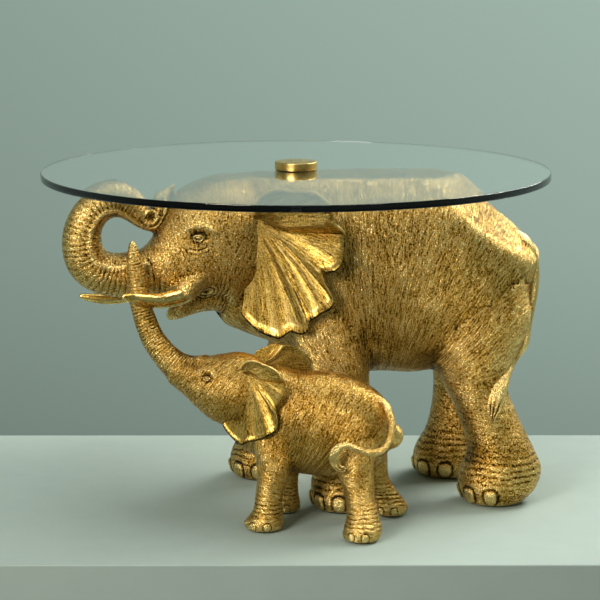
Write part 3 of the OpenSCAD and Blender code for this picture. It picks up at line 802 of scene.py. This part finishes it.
def shape_calf(mesh, fine):
    """Carves the calf's skin in the same way as the cow's, at half the size."""
    co, out, grain, run, _, name = surveyed(mesh, CALF_LIMBS, CALF_FAN)
    legs = np.isin(name, list(CALF_LEGS))
    rise = 0.5 * rough(co, (14, 20, 14), 1)
    rise += 0.15 * (folds(grain, 5, 20, 3) - 1)
    ankle = legs * bell(co[:, 2] - 26, 16)
    rise += ankle * 0.6 * (ridges(co[:, 2] + 2 * rough(co, 10, 2), 4.6, 0.6) - 1)
    trunk = (name == "trunk").astype(float)
    rise += trunk * 0.3 * (ridges(run + 1.2 * rough(co, 9, 4), 3.8, 0.7) - 1)
    nail = nails(co, CALF_LEGS, 32, 20, 4.2, 7.5, (180, 130, 230, 80, 280))
    rise += nail * 1.0
    if fine:
        for ex, ey, ez in CALF_EYES.values():
            near = np.abs(co[:, 1] - ey) < 25
            far = np.hypot((co[:, 0] - ex) * 0.9, co[:, 2] - ez)
            rise += near * 1.5 * bell(far - 9, 4) * step(co[:, 2], ez - 2, ez + 6)
            rise -= near * 1.9 * bell(far, 5.5)
    keep_flat = step(co[:, 2], SOLE_Z + 0.2, SOLE_Z + 1.5)
    co += out * (rise * keep_flat)[:, None]
    co = pressed(co, (0, 0, SOLE_Z), (0, 0, -1))
    place(mesh, co)
    return nail


def casting(skin, plane, head_side, size, carve, limbs, fan, node, material):
    """Takes one side of a neck from the rough skin, carves it and closes it at the neck."""
    point, forward = plane
    away = forward if not head_side else tuple(-v for v in forward)
    loose = tuple(p + a * NECK_MARGIN for p, a in zip(point, away))
    half = skin.copy()
    cut(half, loose, away)
    half = reskinned(half, size)
    place(half, eased(half, points(half), 2, (0.5, -0.52)))
    keep(half, "nail", carve(half, head_side))
    cut(half, point, away)
    co = points(half)
    read = limbs.read(co)
    nail = kept(half, "nail")
    half.attributes.remove(half.attributes["nail"])
    keep(half, "grain", fanned(read, co, *fan))
    keep(half, "hollow", hollows(half, 0.35 * size / 2, 2.2) - nail * 0.2)
    keep(half, "lines", eased(half, 0.2 + 0.8 * on_flank(read, co, fan[2]), 40))
    return finish_piece(half, node + "_cast", "sculpture", [node], material)


def animal(name, skin, neck, squares, carve, limbs, fan, eyes, scale, material):
    """The castings of one animal, parted at its neck, and its eyes."""
    for part, head_side, size in (("body", False, squares[1]), ("head", True, squares[2])):
        made = casting(skin, neck, head_side, size, carve, limbs, fan, name + "_" + part, material)
    bpy.data.meshes.remove(skin)
    for side, (x, _, z) in eyes.items():
        eye(name + "_eye_" + side, made, x, z, side, scale, material)


def cow_skin(size):
    """The whole cow without ears, tusks or tail, before carving."""
    def build(bm):
        loft(bm, COW_TORSO, BACKWARD, sides=96, power=2.5)
        for stations in COW_LEGS.values():
            loft(bm, stations, level=True)
        loft(bm, COW_SKULL, sides=72, power=2.2, domes=(False, True))
        loft(bm, COW_JAW, domes=(False, True))
        loft(bm, COW_TRUNK, sides=64, domes=(False, True))
        loft(bm, COW_TRUNK_FINGER, sides=24, domes=(False, True))
        for stations in COW_SHEATHS.values():
            loft(bm, stations, sides=40)
    mesh = reskinned(drawn(build), size)
    co = pressed(points(mesh), (0, 0, BACK_Z), (0, 0, 1))
    middle, lean, back, up = CROUP
    for side in (-lean, lean):
        co = pressed(co, middle, (back, side, up))
    place(mesh, co)
    filled(mesh, 60, lambda at: step(at[:, 0], -30, 0) * step(at[:, 2], 40, 80))
    co = points(mesh)
    rump = (step(co[:, 0], 90, 140) * step(co[:, 2], 200, 250))[:, None]
    place(mesh, co + rump * (eased(mesh, co, 36) - co))
    place(mesh, eased(mesh, points(mesh), 24, (0.5, -0.51)))
    place(mesh, pressed(points(mesh), (0, 0, BACK_Z), (0, 0, 1)))
    return mesh


def calf_skin(size):
    """The whole calf without ears or tail, before carving."""
    def build(bm):
        loft(bm, CALF_TORSO, BACKWARD, sides=72, power=2.1, domes=(False, True))
        for stations in CALF_LEGS.values():
            loft(bm, stations, level=True, sides=36)
        loft(bm, CALF_SKULL, sides=56, domes=(False, True))
        loft(bm, CALF_JAW, sides=32, domes=(False, True))
        loft(bm, CALF_TRUNK, sides=48, domes=(False, True))
    mesh = reskinned(drawn(build), size)
    filled(mesh, 40, lambda at: step(at[:, 0], -50, -30) * step(at[:, 2], 25, 45))
    place(mesh, eased(mesh, points(mesh), 14, (0.5, -0.51)))
    return mesh


# Ear outlines about the top of the root: [degrees above straight back, reach in millimetres].
COW_EAR = [
    [-96, 108], [-93, 116], [-88, 125], [-81, 134], [-76, 140], [-73, 137], [-70, 134], [-65, 141],
    [-61, 142], [-58, 132], [-51, 131], [-46, 134], [-42, 130], [-40, 121], [-38, 110], [-35, 103],
    [-32, 102], [-28, 111], [-23, 114], [-16, 113], [-9, 110], [-3, 106], [1, 100], [10, 99],
    [15, 92], [22, 84], [29, 63], [47, 41], [53, 31], [58, 19]]
CALF_EAR = [
    [-112, 66], [-106, 71], [-100, 77], [-92, 81], [-86, 76], [-73, 73], [-59, 69], [-52, 63],
    [-46, 51], [-42, 48], [-29, 48], [-13, 47], [3, 44], [14, 40], [32, 28], [65, 19], [106, 7]]
CALF_FAR_EAR = [
    [-118, 40], [-108, 60], [-98, 67], [-86, 69], [-72, 66], [-60, 61], [-45, 55], [-28, 55],
    [-13, 58], [0, 61], [10, 56], [26, 47], [43, 34], [72, 21], [131, 10]]


# Folds of each ear, as [degrees at the rim, width in degrees, height in millimetres].
COW_FOLDS = [
    [-97, 6, 3.0], [-83, 4.5, 4.2], [-74, 3.5, 2.6], [-60, 5, 7.0], [-47, 3.5, 2.0], [-33, 7, 4.2],
    [-16, 8, 2.2]]
CALF_FOLDS = [[-108, 7, 2.0], [-88, 6, 2.6], [-68, 6, 3.6], [-50, 5, 2.0], [-28, 9, 1.8]]
CALF_FAR_FOLDS = [[-96, 9, 0.8], [-58, 10, 0.9]]


def ear(node, outline, root, back, outside, creases, flap, thickness, material):
    """One ear: soft folds that run out from the root, a turned-over top edge and a rolled rim."""
    turns, reaches = np.array(outline, float).T
    size = reaches.max()
    bm = bmesh.new()
    verts = bmesh.ops.create_grid(bm, x_segments=170, y_segments=56, size=1.0)["verts"]
    a = np.array([(v.co.x + 1) / 2 for v in verts])
    b = np.array([(v.co.y + 1) / 2 for v in verts])
    degrees = turns[0] + a * (turns[-1] - turns[0])
    reach = np.interp(degrees, turns, reaches)
    share = 0.05 + 0.95 * b
    radius = reach * share
    out = size * 0.03 * share ** 2
    for turn, width, height in creases:
        over = degrees - turn - 15 * (1 - share) * abs(math.sin(math.radians(2 * turn)))
        slope = width * np.where(over > 0, 0.75, 1.35)
        out += height * bell(over, slope) * (0.25 + 0.75 * share) * step(share, 0.06, 0.3)
    over = degrees - flap + 12 * (1 - share)
    out += size * step(share, 0.08, 0.4) * (0.06 * step(over, -1, 9) - 0.03 * bell(over + 1, 4))
    out += size * 0.014 * step(share, 0.955, 0.99)
    veins = np.array([noise.noise((d / 3.2, s * 2.2, 0.5)) for d, s in zip(degrees, share)])
    out += size * 0.003 * veins * step(share, 0.1, 0.4)
    back, outside = Vector(back), Vector(outside)
    for v, d, r, o in zip(verts, np.radians(degrees), radius, out):
        v.co = Vector(root) + back * (r * math.cos(d)) + Vector((0, 0, r * math.sin(d))) + outside * o
    bmesh.ops.solidify(bm, geom=bm.faces[:], thickness=thickness)
    for _ in range(2):
        bmesh.ops.smooth_vert(bm, verts=bm.verts[:], factor=0.35, use_axis_x=True, use_axis_y=True,
                              use_axis_z=True)
    mesh = meshed(bm)
    co = points(mesh)
    gap = co - np.array(root)
    flat = gap @ np.array(back)
    turn = np.arctan2(gap[:, 2], flat)
    far = np.hypot(gap[:, 2], flat)
    keep(mesh, "grain", np.stack([turn * size * 0.7, far, np.zeros(len(co))], axis=1))
    keep(mesh, "hollow", hollows(mesh, 0.8, 5.0))
    return finish_piece(mesh, node + "_cast", "sculpture", [node], material)


def rod(node, stations, sides, steps, material, strands=None):
    """A tusk or tail: one domed tube, with lengthwise strands of hair past the strands' start."""
    def build(bm):
        loft(bm, stations, sides=sides, steps=steps, domes=(True, True))
    mesh = drawn(build)
    limbs = Limbs([[node, stations, FORWARD, False, 4]])
    co = points(mesh)
    read = limbs.read(co)
    if strands:
        start, count, depth = strands
        hair = np.sin(read[:, 3] * count + read[:, 1] * 0.09 + 1.5 * rough(co, 12, 1))
        lump = rough(co, (9, 9, 14), 6)
        rise = step(read[:, 1], start, start + 14) * (depth * hair + depth * lump)
        place(mesh, co + outward(mesh) * rise[:, None])
    keep(mesh, "grain", lay(limbs.read(points(mesh))))
    keep(mesh, "hollow", hollows(mesh, 0.25, 1.5))
    return finish_piece(mesh, node + "_cast", "sculpture", [node], material)


def spun(profile, segments):
    """A closed solid of revolution about Z from [radius, height] points in millimetres."""
    bm = bmesh.new()
    verts = [bm.verts.new((r, 0, z)) for r, z in profile]
    edges = [bm.edges.new(pair) for pair in zip(verts, verts[1:])]
    if profile[0][0] > 0 and profile[-1][0] > 0:
        edges.append(bm.edges.new((verts[-1], verts[0])))
    bmesh.ops.spin(bm, geom=[*verts, *edges], cent=(0, 0, 0), axis=(0, 0, 1), dvec=(0, 0, 0),
                   angle=2 * math.pi, steps=segments, use_merge=True)
    bmesh.ops.remove_doubles(bm, verts=bm.verts[:], dist=1e-4)
    return meshed(bm)


def centred(mesh, low, high):
    """Moves a mesh spun about Z to the middle of a box, given in metres."""
    mesh.transform(Matrix.Translation(((high.x + low.x) / 2 / MM, (high.y + low.y) / 2 / MM, 0)))


def corner(r, z, radius, start, end, parts=5):
    """Points of a rounded corner about (r, z), from one angle to another in degrees."""
    turns = [math.radians(start + (end - start) * i / parts) for i in range(parts + 1)]
    return [[r + radius * math.cos(t), z + radius * math.sin(t)] for t in turns]


EYE_PROFILE = [
    [0, 3.0], [0.9, 2.85], [1.7, 2.3], [2.3, 1.4], [2.6, 0.7], [3.1, 0.8], [3.8, 1.6], [4.5, 1.6],
    [5.2, 0.8], [5.8, -0.6], [6.2, -2.4], [6.2, -4.0], [0, -5.0]]
EYE_REACH = 5           # radius at which the eye's creases have their true pitch


def eye(name, head, x, z, side, scale, material):
    """An eye: ball, lids and a fold round them, set on the head's skin at x, z on one side, with painted
    shade darkening the head's skin round it.
    """
    co = points(head.data) / MM
    out = outward(head.data)
    if side == "left":
        facing = out[:, 1] < 0
    else:
        facing = out[:, 1] > -0.3
    gap = np.hypot(co[:, 0] - x, co[:, 2] - z) + np.where(facing, 0, 1e3)
    near = np.argsort(gap)[:40]
    spot = Vector(co[near].mean(0))
    normal = Vector(out[near].mean(0)).normalized()
    # Painted shade: a dark patch about 9 mm wide at the cow's size, added to the head's hollow values round
    # the eye, darkens the socket.
    shade = kept(head.data, "hollow")
    shade += 0.9 * bell(np.linalg.norm(co - np.array(spot), axis=1), 9 * scale)
    head.data.attributes["hollow"].data.foreach_set("value", shade)
    mesh = spun(EYE_PROFILE, 40)
    co = points(mesh)
    lid = bell(np.hypot(co[:, 0], co[:, 1]) - 4.6, 1.8) * step(co[:, 1], 0, 3) * (co[:, 2] > -1)
    co[:, 2] += 1.1 * lid
    co[:, 1] -= 1.5 * lid
    place(mesh, co)
    upright = Vector((0, 0, 1)) - normal * normal.z
    upright.normalize()
    across = upright.cross(normal)
    turn = Matrix((across, upright, normal)).transposed().to_4x4()
    stretch = Matrix.Diagonal((1.4 * scale, 0.9 * scale, scale, 1))
    mesh.transform(Matrix.Translation(spot - normal * 0.6 * scale) @ turn @ stretch)
    co = points(mesh)
    gap = (co - np.array(spot)) @ np.array([across, upright]).T
    angle = np.arctan2(gap[:, 1], gap[:, 0])
    keep(mesh, "grain", np.stack([np.hypot(*gap.T), angle * EYE_REACH, np.zeros(len(co))], axis=1))
    keep(mesh, "hollow", hollows(mesh, 0.5, 2.0))
    return finish_piece(mesh, name, "sculpture", [], material)


# ---------------------------------------------------------------------------
# Sizes and colours a user may change
# ---------------------------------------------------------------------------

class CastingSettings(bpy.types.PropertyGroup):
    """Sizes and colours of the cast elephants."""
    gold_light: bpy.props.FloatVectorProperty(
        name="Worn gold", description="Gold on the ridges that were rubbed bright", size=4,
        subtype="COLOR", default=colour("F8DA8E"), min=0, max=1)
    # Painted light: on the ears this brighter gold stands in for the light they catch; on the tusks it is
    # gold rubbed bright.
    gold_bright: bpy.props.FloatVectorProperty(
        name="Bright gold", description="Gold of the smoother ears and tusks", size=4, subtype="COLOR",
        default=colour("D6A840"), min=0, max=1)
    gold_mid: bpy.props.FloatVectorProperty(
        name="Gold", description="Gold of the open surfaces", size=4, subtype="COLOR",
        default=colour("BE8C2C"), min=0, max=1)
    umber: bpy.props.FloatVectorProperty(
        name="Umber", description="Brown wash left in the cuts and hollows", size=4, subtype="COLOR",
        default=colour("241804"), min=0, max=1)
    stroke_pitch: bpy.props.FloatProperty(
        name="Stroke pitch", description="Distance between the cow's tool strokes", unit="LENGTH",
        default=0.0018, min=0.0008, max=0.01)
    stroke_depth: bpy.props.FloatProperty(
        name="Stroke depth", description="Depth of the tool strokes", unit="LENGTH",
        default=0.0004, min=0.0, max=0.002)
    cow_ear_thickness: bpy.props.FloatProperty(
        name="Cow ear thickness", description="Thickness of the cow's ears", unit="LENGTH",
        default=0.0040, min=0.002, max=0.008)
    calf_ear_thickness: bpy.props.FloatProperty(
        name="Calf ear thickness", description="Thickness of the calf's ears", unit="LENGTH",
        default=0.0030, min=0.002, max=0.006)


class GlassSettings(bpy.types.PropertyGroup):
    """Sizes and colours of the glass and its fixing."""
    diameter: bpy.props.FloatProperty(
        name="Glass diameter", description="Diameter of the glass disc", unit="LENGTH",
        default=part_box("glass_top")[1].x * 2, min=0.4, max=0.8)
    tint: bpy.props.FloatVectorProperty(
        name="Glass tint", description="What the glass's thickness does to white light", size=4,
        subtype="COLOR", default=colour("6E6A78"), min=0, max=1)
    cap_chamfer: bpy.props.FloatProperty(
        name="Cap edge", description="Radius of the screw cap's upper edge", unit="LENGTH",
        default=0.0008, min=0.0002, max=0.002)
    thread_pitch: bpy.props.FloatProperty(
        name="Thread pitch", description="Pitch of the stud's thread", unit="LENGTH",
        default=0.00125, min=0.0005, max=0.002)


class StageSettings(bpy.types.PropertyGroup):
    """Floor, room and light."""
    floor: bpy.props.FloatVectorProperty(
        name="Floor", description="Colour of the floor", size=4, subtype="COLOR",
        default=colour("A2B2AA"), min=0, max=1)
    wall: bpy.props.FloatVectorProperty(
        name="Wall", description="Colour of the room's walls", size=4, subtype="COLOR",
        default=colour("A9BFB3"), min=0, max=1)
    key: bpy.props.FloatProperty(
        name="Light", description="Power that all softboxes scale with", unit="POWER",
        default=60.0, min=0.0)
    room: bpy.props.FloatProperty(
        name="Room light", description="Brightness of the room before the table, as a share of behind it",
        default=0.4, min=0.0)


def settings():
    """The three groups of settings on the scene."""
    scene = bpy.context.scene
    return scene.casting_settings, scene.glass_settings, scene.stage_settings


def gold(name, lines, pitch, depth, rough, grit, low_shade, shade=("gold_light", "gold_mid", "umber")):
    """A gold finish by name, made once, from the colours in the settings."""
    tones = [tuple(getattr(settings()[0], key)) for key in shade]
    return shared(antiqued_gold, name, *tones, lines, pitch, depth, rough, grit, low_shade)


def body_gold():
    """The cow's gold: strokes on the flanks, crackle on the rest, and painted shade low on the legs."""
    group = settings()[0]
    pitch, depth = group.stroke_pitch / MM, group.stroke_depth / MM
    return gold("antiqued_gold_resin", None, pitch, depth, 0.27, 0.42, 0.2)


def calf_gold():
    """The calf's gold, and the tails', with finer strokes mixed with the crackle."""
    return gold("antiqued_gold_resin_fine", 0.6, 1.3, 0.36, 0.27, 0.32, 0.0)


def painted_light_ear_gold():
    """The ears' gold, made brighter as painted light, and smoother, with shallow strokes that run out from
    the root.
    """
    return gold("antiqued_gold_resin_ears", 1.0, 1.8, 0.14, 0.28, 0.4, 0.0,
                ("gold_light", "gold_bright", "umber"))


def tusk_gold():
    """The tusks' gold, rubbed smooth and bright."""
    return gold("rubbed_gold_resin", 1.0, 3.0, 0.05, 0.24, 0.25, 0.0,
                ("gold_light", "gold_bright", "gold_mid"))


# ---------------------------------------------------------------------------
# Operators, one for each group of pieces
# ---------------------------------------------------------------------------

class MakeCow(bpy.types.Operator):
    """Makes the cow's body, head and eyes"""
    bl_idname = "elephant_table.cow"
    bl_label = "Cow casting"

    def execute(self, context):
        """Skins the whole cow once, then finishes each side of the neck."""
        animal("mother", cow_skin(COW_SQUARES[0]), COW_NECK, COW_SQUARES, shape_cow, COW_LIMBS, COW_FAN,
               COW_EYES, 1.0, body_gold())
        return {"FINISHED"}


class MakeCalf(bpy.types.Operator):
    """Makes the calf's body, head and eyes"""
    bl_idname = "elephant_table.calf"
    bl_label = "Calf casting"

    def execute(self, context):
        """Skins the whole calf once, then finishes each side of the neck."""
        animal("calf", calf_skin(CALF_SQUARES[0]), CALF_NECK, CALF_SQUARES, shape_calf, CALF_LIMBS, CALF_FAN,
               CALF_EYES, 0.66, calf_gold())
        return {"FINISHED"}


class MakeEars(bpy.types.Operator):
    """Makes the four ears"""
    bl_idname = "elephant_table.ears"
    bl_label = "Ears"

    def execute(self, context):
        """Each ear is a pleated fan in its own upright plane."""
        sizes = settings()[0]
        for name, outline, root, turn, side, stretch, creases, flap, thick in (
                ("mother_ear_left", COW_EAR, (-50, -73, 338), -22.5, 1, 1.08, COW_FOLDS, -4,
                 sizes.cow_ear_thickness),
                ("mother_ear_right", COW_EAR, (-85.6, 30.2, 326), 55, -1, 1.0, COW_FOLDS, -4,
                 sizes.cow_ear_thickness),
                ("calf_ear_left", CALF_EAR, (-56, -179.4, 178), -30, 1, 1.15, CALF_FOLDS, -4,
                 sizes.calf_ear_thickness),
                ("calf_ear_right", CALF_FAR_EAR, (-42, -122, 174), 14, -1, 1.0, CALF_FAR_FOLDS, 40,
                 sizes.calf_ear_thickness)):
            c, s = math.cos(math.radians(turn)), math.sin(math.radians(turn))
            ear(name, outline, root, (c * stretch, s * stretch, 0), (s * side, -c * side, 0),
                creases, flap, thick / MM, painted_light_ear_gold())
        return {"FINISHED"}


class MakeTusksAndTails(bpy.types.Operator):
    """Makes the tusks and the two tails"""
    bl_idname = "elephant_table.tusks_and_tails"
    bl_label = "Tusks and tails"

    def execute(self, context):
        """Each is one domed tube along its line."""
        for side, stations in COW_TUSKS.items():
            rod("mother_tusk_" + side, stations, 40, 8, tusk_gold())
        rod("mother_tail", COW_TAIL, 36, 12, calf_gold(), strands=(225, 7, 1.1))
        rod("calf_tail", CALF_TAIL, 32, 12, calf_gold(), strands=(150, 6, 0.8))
        return {"FINISHED"}


class MakeGlass(bpy.types.Operator):
    """Makes the glass disc and the bumpers under it"""
    bl_idname = "elephant_table.glass"
    bl_label = "Glass and bumpers"

    def execute(self, context):
        """The disc is spun with a rounded rim; each bumper is a low dome."""
        low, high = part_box("glass_top")
        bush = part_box("glass_bush")[1].x / MM
        radius, bottom, top = settings()[1].diameter / 2 / MM, low.z / MM, high.z / MM
        ease, flat, brim, break_edge = 1.2, 0.6, 4, 0.3
        inner = radius - ease
        rim = [[inner - brim, bottom], [inner - flat, bottom], *corner(inner, bottom + ease, ease, -90, 0),
               *corner(inner, top - ease, ease, 0, 90), [inner - flat, top], [inner - brim, top]]
        hole = [[bush + brim, top], [bush + flat, top], [bush, top - break_edge],
                [bush, bottom + break_edge], [bush + flat, bottom], [bush + brim, bottom]]
        glass = shared(float_glass, "tempered_float_glass", tuple(settings()[1].tint))
        finish_piece(spun([*rim, *hole], 256), "glass_disc", "glass", ["glass_top"], glass)
        clear = shared(clear_polymer, "clear_polyurethane", 0.08)
        for node in ("bumper_trunk", "bumper_shoulder", "bumper_flank_left", "bumper_flank_right"):
            low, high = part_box(node)
            r, z = (high.x - low.x) / 2 / MM, low.z / MM
            dome = [[r * math.cos(t), z + 0.4 + 1.6 * math.sin(t)]
                    for t in [math.radians(90 * i / 8) for i in range(8)]]
            mesh = spun([[0, z], [r, z], *dome, [0, z + 2.0]], 40)
            centred(mesh, low, high)
            finish_piece(mesh, node + "_dome", "sculpture", [node], clear)
        return {"FINISHED"}


class MakeFixing(bpy.types.Operator):
    """Makes the screw cap, its gasket and the threaded stud"""
    bl_idname = "elephant_table.fixing"
    bl_label = "Centre fixing"

    def execute(self, context):
        """Cap and gasket are spun; the stud's thread is one helix closed at both ends."""
        low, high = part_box("cap")
        radius, bottom, top = high.x / MM, low.z / MM, high.z / MM
        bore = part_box("stud")[1].x / MM + 0.06
        edge = settings()[1].cap_chamfer / MM
        profile = [[bore + 0.5, bottom], *corner(radius - 0.3, bottom + 0.3, 0.3, -90, 0),
                   *corner(radius - edge, top - edge, edge, 0, 90), [0, top], [0, top - 1.5],
                   [bore, top - 1.5], [bore, bottom + 0.5]]
        brass = shared(lacquered_brass, "brushed_lacquered_brass", "F0CE7E", 260.0)
        crown = profile.index([0, top])
        mesh = spun([*profile[crown:], *profile[:crown + 1]], 128)
        finish_piece(mesh, "screw_cap", "cap", ["cap"], brass)
        low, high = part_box("cap_gasket")
        ring = high.x / MM - 1.4
        profile = [[bore, low.z / MM], [ring, low.z / MM], [ring + 0.25, (low.z + high.z) / 2 / MM],
                   [ring, high.z / MM], [bore, high.z / MM]]
        rubber = shared(black_rubber, "moulded_black_rubber")
        finish_piece(spun(profile, 96), "cap_gasket_ring", "cap_gasket", ["cap_gasket"], rubber)
        finish_piece(self.thread(), "stud_threaded", "sculpture", ["stud"],
                     shared(zinc_steel, "zinc_plated_steel"))
        return {"FINISHED"}

    def thread(self):
        """The stud: a one-pitch profile wound up its length, then cut level and closed."""
        low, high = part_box("stud")
        crest, bottom, top = high.x / MM, low.z / MM, high.z / MM
        pitch = settings()[1].thread_pitch / MM
        root = crest - THREAD_DEPTH * pitch
        turns = int((top - bottom) / pitch) + 3
        bm = bmesh.new()
        start = bottom - 1.5 * pitch
        verts = [bm.verts.new((r, 0, start + pitch * h))
                 for r, h in ((root, 0), (crest, 0.45), (crest, 0.55), (root, 1.0))]
        edges = [bm.edges.new(pair) for pair in zip(verts, verts[1:])]
        bmesh.ops.spin(bm, geom=[*verts, *edges], cent=(0, 0, 0), axis=(0, 0, 1),
                       dvec=(0, 0, pitch / 24), angle=2 * math.pi * turns, steps=24 * turns)
        bmesh.ops.remove_doubles(bm, verts=bm.verts[:], dist=0.02)
        for z, way in ((bottom, -1), (top, 1)):
            trimmed(bm, (0, 0, z), (0, 0, way))
        return meshed(bm)


class MakePads(bpy.types.Operator):
    """Makes the felt pads and finishes the hidden hardware"""
    bl_idname = "elephant_table.pads"
    bl_label = "Felt pads and hardware"

    def execute(self, context):
        """Each pad is a soft-edged disc with an uneven surface."""
        felt = shared(pressed_felt, "pressed_wool_felt")
        for node in sorted(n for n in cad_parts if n.startswith("pad_")):
            low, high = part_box(node)
            r, top = (high.x - low.x) / 2 / MM, high.z / MM
            profile = [[0, 0], [r * 0.5, 0], *corner(r - 0.6, 0.6, 0.6, -90, 0, 3),
                       *corner(r - 0.6, top - 0.6, 0.6, 0, 90, 3), [r * 0.5, top], [0, top]]
            mesh = spun(profile, 72)
            centred(mesh, low, high)
            co = points(mesh)
            place(mesh, co - outward(mesh) * (0.12 * np.abs(rough(co, 1.7)))[:, None])
            finish_piece(mesh, node + "_felt", "sculpture", [node], felt)
        brass = shared(lacquered_brass, "turned_brass", "CFA850", 400.0)
        steel = shared(zinc_steel, "zinc_plated_steel")
        for node, material in (
                ("threaded_insert", brass), ("mother_neck_dowels", steel), ("calf_neck_dowel", steel),
                ("trunk_pin", steel), ("mother_belly_plug", shared(black_rubber, "moulded_black_rubber")),
                ("back_block", shared(sawn_beech, "sawn_beech")),
                ("glass_bush", shared(clear_polymer, "clear_nylon", 0.25))):
            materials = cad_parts[node].data.materials
            materials.clear()
            materials.append(material)
        return {"FINISHED"}


PLINTH = (2.6, 0.607, 0.9)      # length, depth and height of the plinth, in metres
PLINTH_Y = -0.0335
WALL_GLOW = (
    (0.16, 0.45), (0.23, 0.68), (0.30, 0.80), (0.40, 0.92), (0.50, 0.95), (0.66, 0.5), (1.0, 0.25))
LENS_MM = 152.5
SENSOR_MM = 36.0
CAMERA_AT = (0.0, -2.9757, 0.7662)
CAMERA_DIP = 10.2388            # degrees below level
CAMERA_PAN = -0.09


class MakeStage(bpy.types.Operator):
    """Makes the floor, the room, the lights and the camera"""
    bl_idname = "elephant_table.stage"
    bl_label = "Stage"

    def execute(self, context):
        """A pale plinth for a floor, a softly lit room all round, softboxes and a long lens."""
        self.plinth()
        group = settings()[2]
        world = bpy.data.worlds.new("studio")
        bpy.context.scene.world = world
        world.use_nodes = True
        tree = world.node_tree
        way = add_node(tree, "TexCoord").outputs["Generated"]
        parts = add_node(tree, "SeparateXYZ", {"Vector": way}).outputs
        height = add_node(tree, "MapRange", {"Value": parts["Z"], "From Min": -0.5, "From Max": 1.0})
        glow = add_node(tree, "ValToRGB", {
            "Fac": height, "stops": [(at, (v, v, v, 1)) for at, v in WALL_GLOW]})
        for axis, near, far, low, high in (("X", -0.15, 0.15, 0.82, 1.15), ("Y", -0.5, 0.3, group.room, 1.0)):
            part = add_node(tree, "MapRange", {
                "Value": parts[axis], "From Min": near, "From Max": far, "To Min": low, "To Max": high})
            glow = add_node(tree, "Math", {"operation": "MULTIPLY", 0: glow, 1: part})
        back = tree.nodes["Background"]
        back.inputs["Color"].default_value = tuple(group.wall)
        tree.links.new(glow.outputs[0], back.inputs["Strength"])
        bpy.context.scene.view_settings.view_transform = "Standard"

        for name, spot, aim, size, power, tone in (
                ("key", (1.6, 0.7, 2.0), (0.05, 0, 0.2), (0.9, 0.9), group.key * 0.66, "FFFAF0"),
                ("fill", (-1.3, -2.4, 1.35), (0, 0, 0.32), (1.0, 0.8), group.key * 1.05, "FFF8EE"),
                ("overhead", (0.1, -0.3, 2.2), (0, 0, 0.2), (1.4, 0.9), group.key * 0.35, "FFFFFF"),
                ("back", (1.3, 1.5, 1.4), (0, 0, 0.25), (1.0, 0.8), group.key * 0.35, "FFFFFF")):
            lamp = bpy.data.lights.new(name, "AREA")
            lamp.shape = "RECTANGLE"
            lamp.size, lamp.size_y = size
            lamp.energy = power
            lamp.color = colour(tone)[:3]
            obj = bpy.data.objects.new(name, lamp)
            obj.location = spot
            obj.rotation_euler = (Vector(aim) - Vector(spot)).to_track_quat("-Z", "Y").to_euler()
            obj.visible_camera = False
            bpy.context.scene.collection.objects.link(obj)

        lens = bpy.data.cameras.new("camera")
        lens.lens = LENS_MM
        lens.sensor_width = SENSOR_MM
        camera = bpy.data.objects.new("camera", lens)
        camera.location = CAMERA_AT
        camera.rotation_euler = (math.radians(90 - CAMERA_DIP), 0, math.radians(CAMERA_PAN))
        bpy.context.scene.collection.objects.link(camera)
        bpy.context.scene.camera = camera
        return {"FINISHED"}

    def plinth(self):
        """The floor: a long pale plinth with an eased front edge."""
        bm = bmesh.new()
        bmesh.ops.create_cube(bm, size=1.0, matrix=Matrix.Diagonal((*PLINTH, 1)))
        bmesh.ops.translate(bm, verts=bm.verts[:], vec=(0, PLINTH_Y, -PLINTH[2] / 2))
        bmesh.ops.bevel(bm, geom=[e for e in bm.edges if all(v.co.z > -0.1 for v in e.verts)], offset=0.0015,
                        affect="EDGES", segments=3, profile=0.5, material=-1)
        mesh = meshed(bm)
        mesh.materials.append(matt_emulsion("matt_pale_emulsion", tuple(settings()[2].floor)))
        obj = bpy.data.objects.new("floor_plinth", mesh)
        bpy.context.scene.collection.objects.link(obj)


OPERATORS = (MakeStage, MakeCow, MakeCalf, MakeEars, MakeTusksAndTails, MakeGlass, MakeFixing, MakePads)


class TablePanel(bpy.types.Panel):
    """Lists the table's settings and its makers"""
    bl_idname = "VIEW3D_PT_elephant_table"
    bl_label = "Elephant Table"
    bl_space_type = "VIEW_3D"
    bl_region_type = "UI"
    bl_category = "Elephant Table"

    def draw(self, context):
        """Settings first, then one button for each operator."""
        for group in settings():
            box = self.layout.box()
            for key in group.__annotations__:
                box.prop(group, key)
        for operator in OPERATORS:
            self.layout.operator(operator.bl_idname)


CLASSES = (CastingSettings, GlassSettings, StageSettings, *OPERATORS, TablePanel)


def register():
    """Registers the classes and puts the settings on the scene."""
    for item in CLASSES:
        bpy.utils.register_class(item)
    bpy.types.Scene.casting_settings = bpy.props.PointerProperty(type=CastingSettings)
    bpy.types.Scene.glass_settings = bpy.props.PointerProperty(type=GlassSettings)
    bpy.types.Scene.stage_settings = bpy.props.PointerProperty(type=StageSettings)


def unregister():
    """Takes the settings off the scene and unregisters the classes."""
    del bpy.types.Scene.casting_settings
    del bpy.types.Scene.glass_settings
    del bpy.types.Scene.stage_settings
    for item in reversed(CLASSES):
        bpy.utils.unregister_class(item)


def main():
    """Makes every piece in order."""
    register()
    for operator in OPERATORS:
        group, name = operator.bl_idname.split(".")
        getattr(getattr(bpy.ops, group), name)()


if __name__ == "__main__":
    main()
